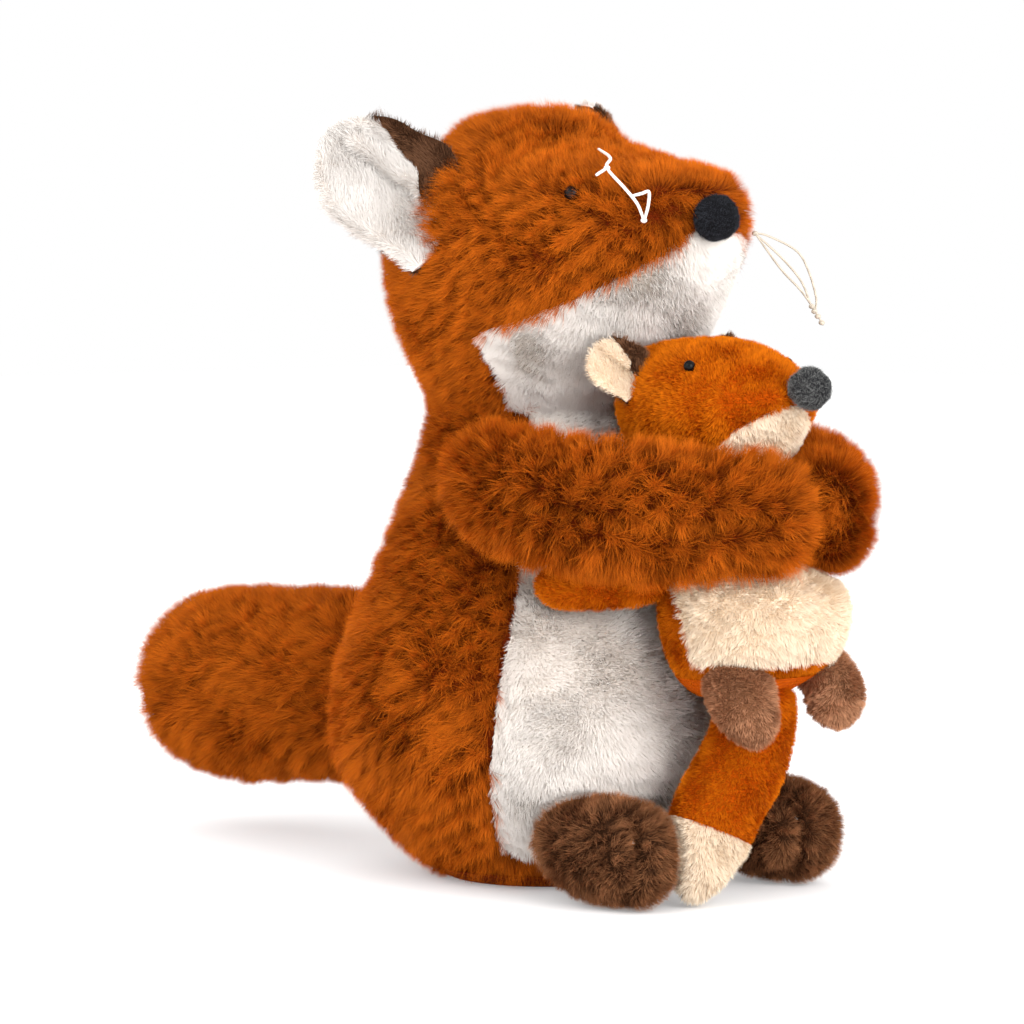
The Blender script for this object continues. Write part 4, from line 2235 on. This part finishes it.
@dataclass
class Studio:
    """The pale floor, the soft light and the camera at the photograph's angle."""

    camera_place: tuple[float, float, float] = (-0.849, -0.835, 0.181)
    look: tuple[float, float, float] = (0.7057, 0.7057, -0.0628)
    lens: float = 143.4
    sensor: float = 36.0
    ambient: float = 1.25
    key_power: float = 13.0
    fill_power: float = 5.0
    floor_size: float = 8.0

    def build(self) -> None:
        """Set up everything that isn't part of the toy."""
        scene = bpy.context.scene
        scene.view_settings.view_transform = "Standard"
        self.build_camera(scene)
        self.build_world(scene)
        self.build_floor()
        self.build_lamp("key_lamp", (-0.2, -1.25, 0.45), 0.9, self.key_power)
        self.build_lamp("fill_lamp", (-1.0, 0.1, 0.6), 1.0, self.fill_power)

    def build_camera(self, scene: bpy.types.Scene) -> None:
        """Stand the camera where the photograph was taken."""
        data = bpy.data.cameras.new("camera")
        data.lens = self.lens
        data.sensor_width = self.sensor
        data.clip_start = 0.05
        camera = bpy.data.objects.new("camera", data)
        camera.location = self.camera_place
        camera.rotation_euler = Vector(self.look).to_track_quat("-Z", "Y").to_euler()
        scene.collection.objects.link(camera)
        scene.camera = camera

    def seen(self, graph: Graph) -> Socket:
        """Say whether a ray comes from the camera, a gloss or glass."""
        rays = [
            graph.node("ShaderNodeLightPath", {}, {}, name)
            for name in ("Is Camera Ray", "Is Glossy Ray", "Is Transmission Ray")
        ]
        return graph.node("ShaderNodeClamp", {}, {"Value": rays[0] + rays[1] + rays[2]})

    def build_world(self, scene: bpy.types.Scene) -> None:
        """Light from all round, and white behind the toy."""
        world = bpy.data.worlds.new("studio")
        scene.world = world
        world.use_nodes = True
        graph = Graph(world.node_tree)
        white = (1.0, 1.0, 1.0)
        light = graph.node("ShaderNodeBackground", {}, {"Color": white, "Strength": self.ambient})
        view = graph.node("ShaderNodeBackground", {}, {"Color": white, "Strength": 1.0})
        both = graph.node("ShaderNodeMixShader", {}, {0: self.seen(graph), 1: light, 2: view})
        output = graph.tree.nodes.new("ShaderNodeOutputWorld")
        graph.tree.links.new(both.link, output.inputs["Surface"])

    def build_floor(self) -> None:
        """Lay a wide pale floor that keeps the toy's shadow."""
        half = self.floor_size / 2 / MM
        corners = np.array([[-half, -half, 0], [half, -half, 0], [half, half, 0], [-half, half, 0]])
        floor = make_object("floor", Surface(corners, np.array([[0, 1, 2, 3]])), False)
        material = bpy.data.materials.new("studio_floor")
        material.use_nodes = True
        graph = Graph(material.node_tree)
        inputs = {"Base Color": (0.86, 0.86, 0.86), "Roughness": 0.9, "Specular IOR Level": 0.0}
        cloth = graph.node("ShaderNodeBsdfPrincipled", {}, inputs)
        glow = graph.node("ShaderNodeEmission", {}, {"Color": (1.0, 1.0, 1.0), "Strength": 0.25})
        lit = graph.node("ShaderNodeAddShader", {}, {0: cloth, 1: glow})
        both = graph.node("ShaderNodeMixShader", {}, {0: self.seen(graph), 1: cloth, 2: lit})
        output = graph.tree.nodes.new("ShaderNodeOutputMaterial")
        graph.tree.links.new(both.link, output.inputs["Surface"])
        floor.data.materials.append(material)

    def build_lamp(
        self, name: str, place: tuple[float, float, float], size: float, power: float
    ) -> None:
        """Hang a square soft box that looks at the toy's middle.

        Args:
            name: The lamp's name.
            place: Where it hangs, in metres.
            size: The side of its square.
            power: Its power in watts.
        """
        data = bpy.data.lights.new(name, "AREA")
        data.size = size
        data.energy = power
        lamp = bpy.data.objects.new(name, data)
        lamp.location = place
        target = Vector((0.0, 0.0, 0.11))
        lamp.rotation_euler = (target - Vector(place)).to_track_quat("-Z", "Y").to_euler()
        bpy.context.scene.collection.objects.link(lamp)


def main() -> None:
    """Build the toy and its studio, in order."""
    logging.basicConfig(level=logging.INFO, format="%(message)s")
    Studio().build()
    torso, head, arms, feet, tail = Torso(), Head(), Arms(), Feet(), Tail()
    cub, cub_head, cub_limbs = CubBody(), CubHead(), CubLimbs()
    pair, soles = [arms.right, arms.left], [feet.right, feet.left]
    torso.build([*pair, *soles, tail.form, cub.form, cub_head.form, cub.arm, Mirrored(cub.arm)])
    head.build([cub_head.form])
    ear_root = head.at(0.57, -1.68, -6.0)
    white = replace(SHORT_WHITE, finish=EAR_WHITE, lay=Lay.ALONG, length=3.1, is_velvet=False)
    umber = replace(FOOT_BROWN, finish=UMBER, lay=Lay.ALONG, length=2.6, gather=0.12, scatter=0.12)
    ears = (45, 34), 5.0, 5.0, 7.0, white, WHITE_CLOTH, umber, FAR_EAR_DIRECTION
    Ears("ear", "head", ear_root, *ears).build()
    arms.build(torso.form, cub.form, cub_head.form)
    feet.build(torso.form, [cub_limbs.tail])
    tail.build(torso.form)
    cub.build([*pair, torso.form])
    cub_head.build([*pair, head.form])
    cub_root = cub_head.at(0.66, -1.95, -2.5)
    cream = replace(MINKY, finish=CREAM, lay=Lay.ALONG)
    brown = replace(cream, finish=UMBER)
    Ears("cub_ear", "cub_head", cub_root, (17, 15), 2.5, 2.2, 4.0, cream, CREAM_CLOTH, brown).build()
    cub_limbs.build(cub.form, soles, torso.form)


if __name__ == "__main__":
    main()
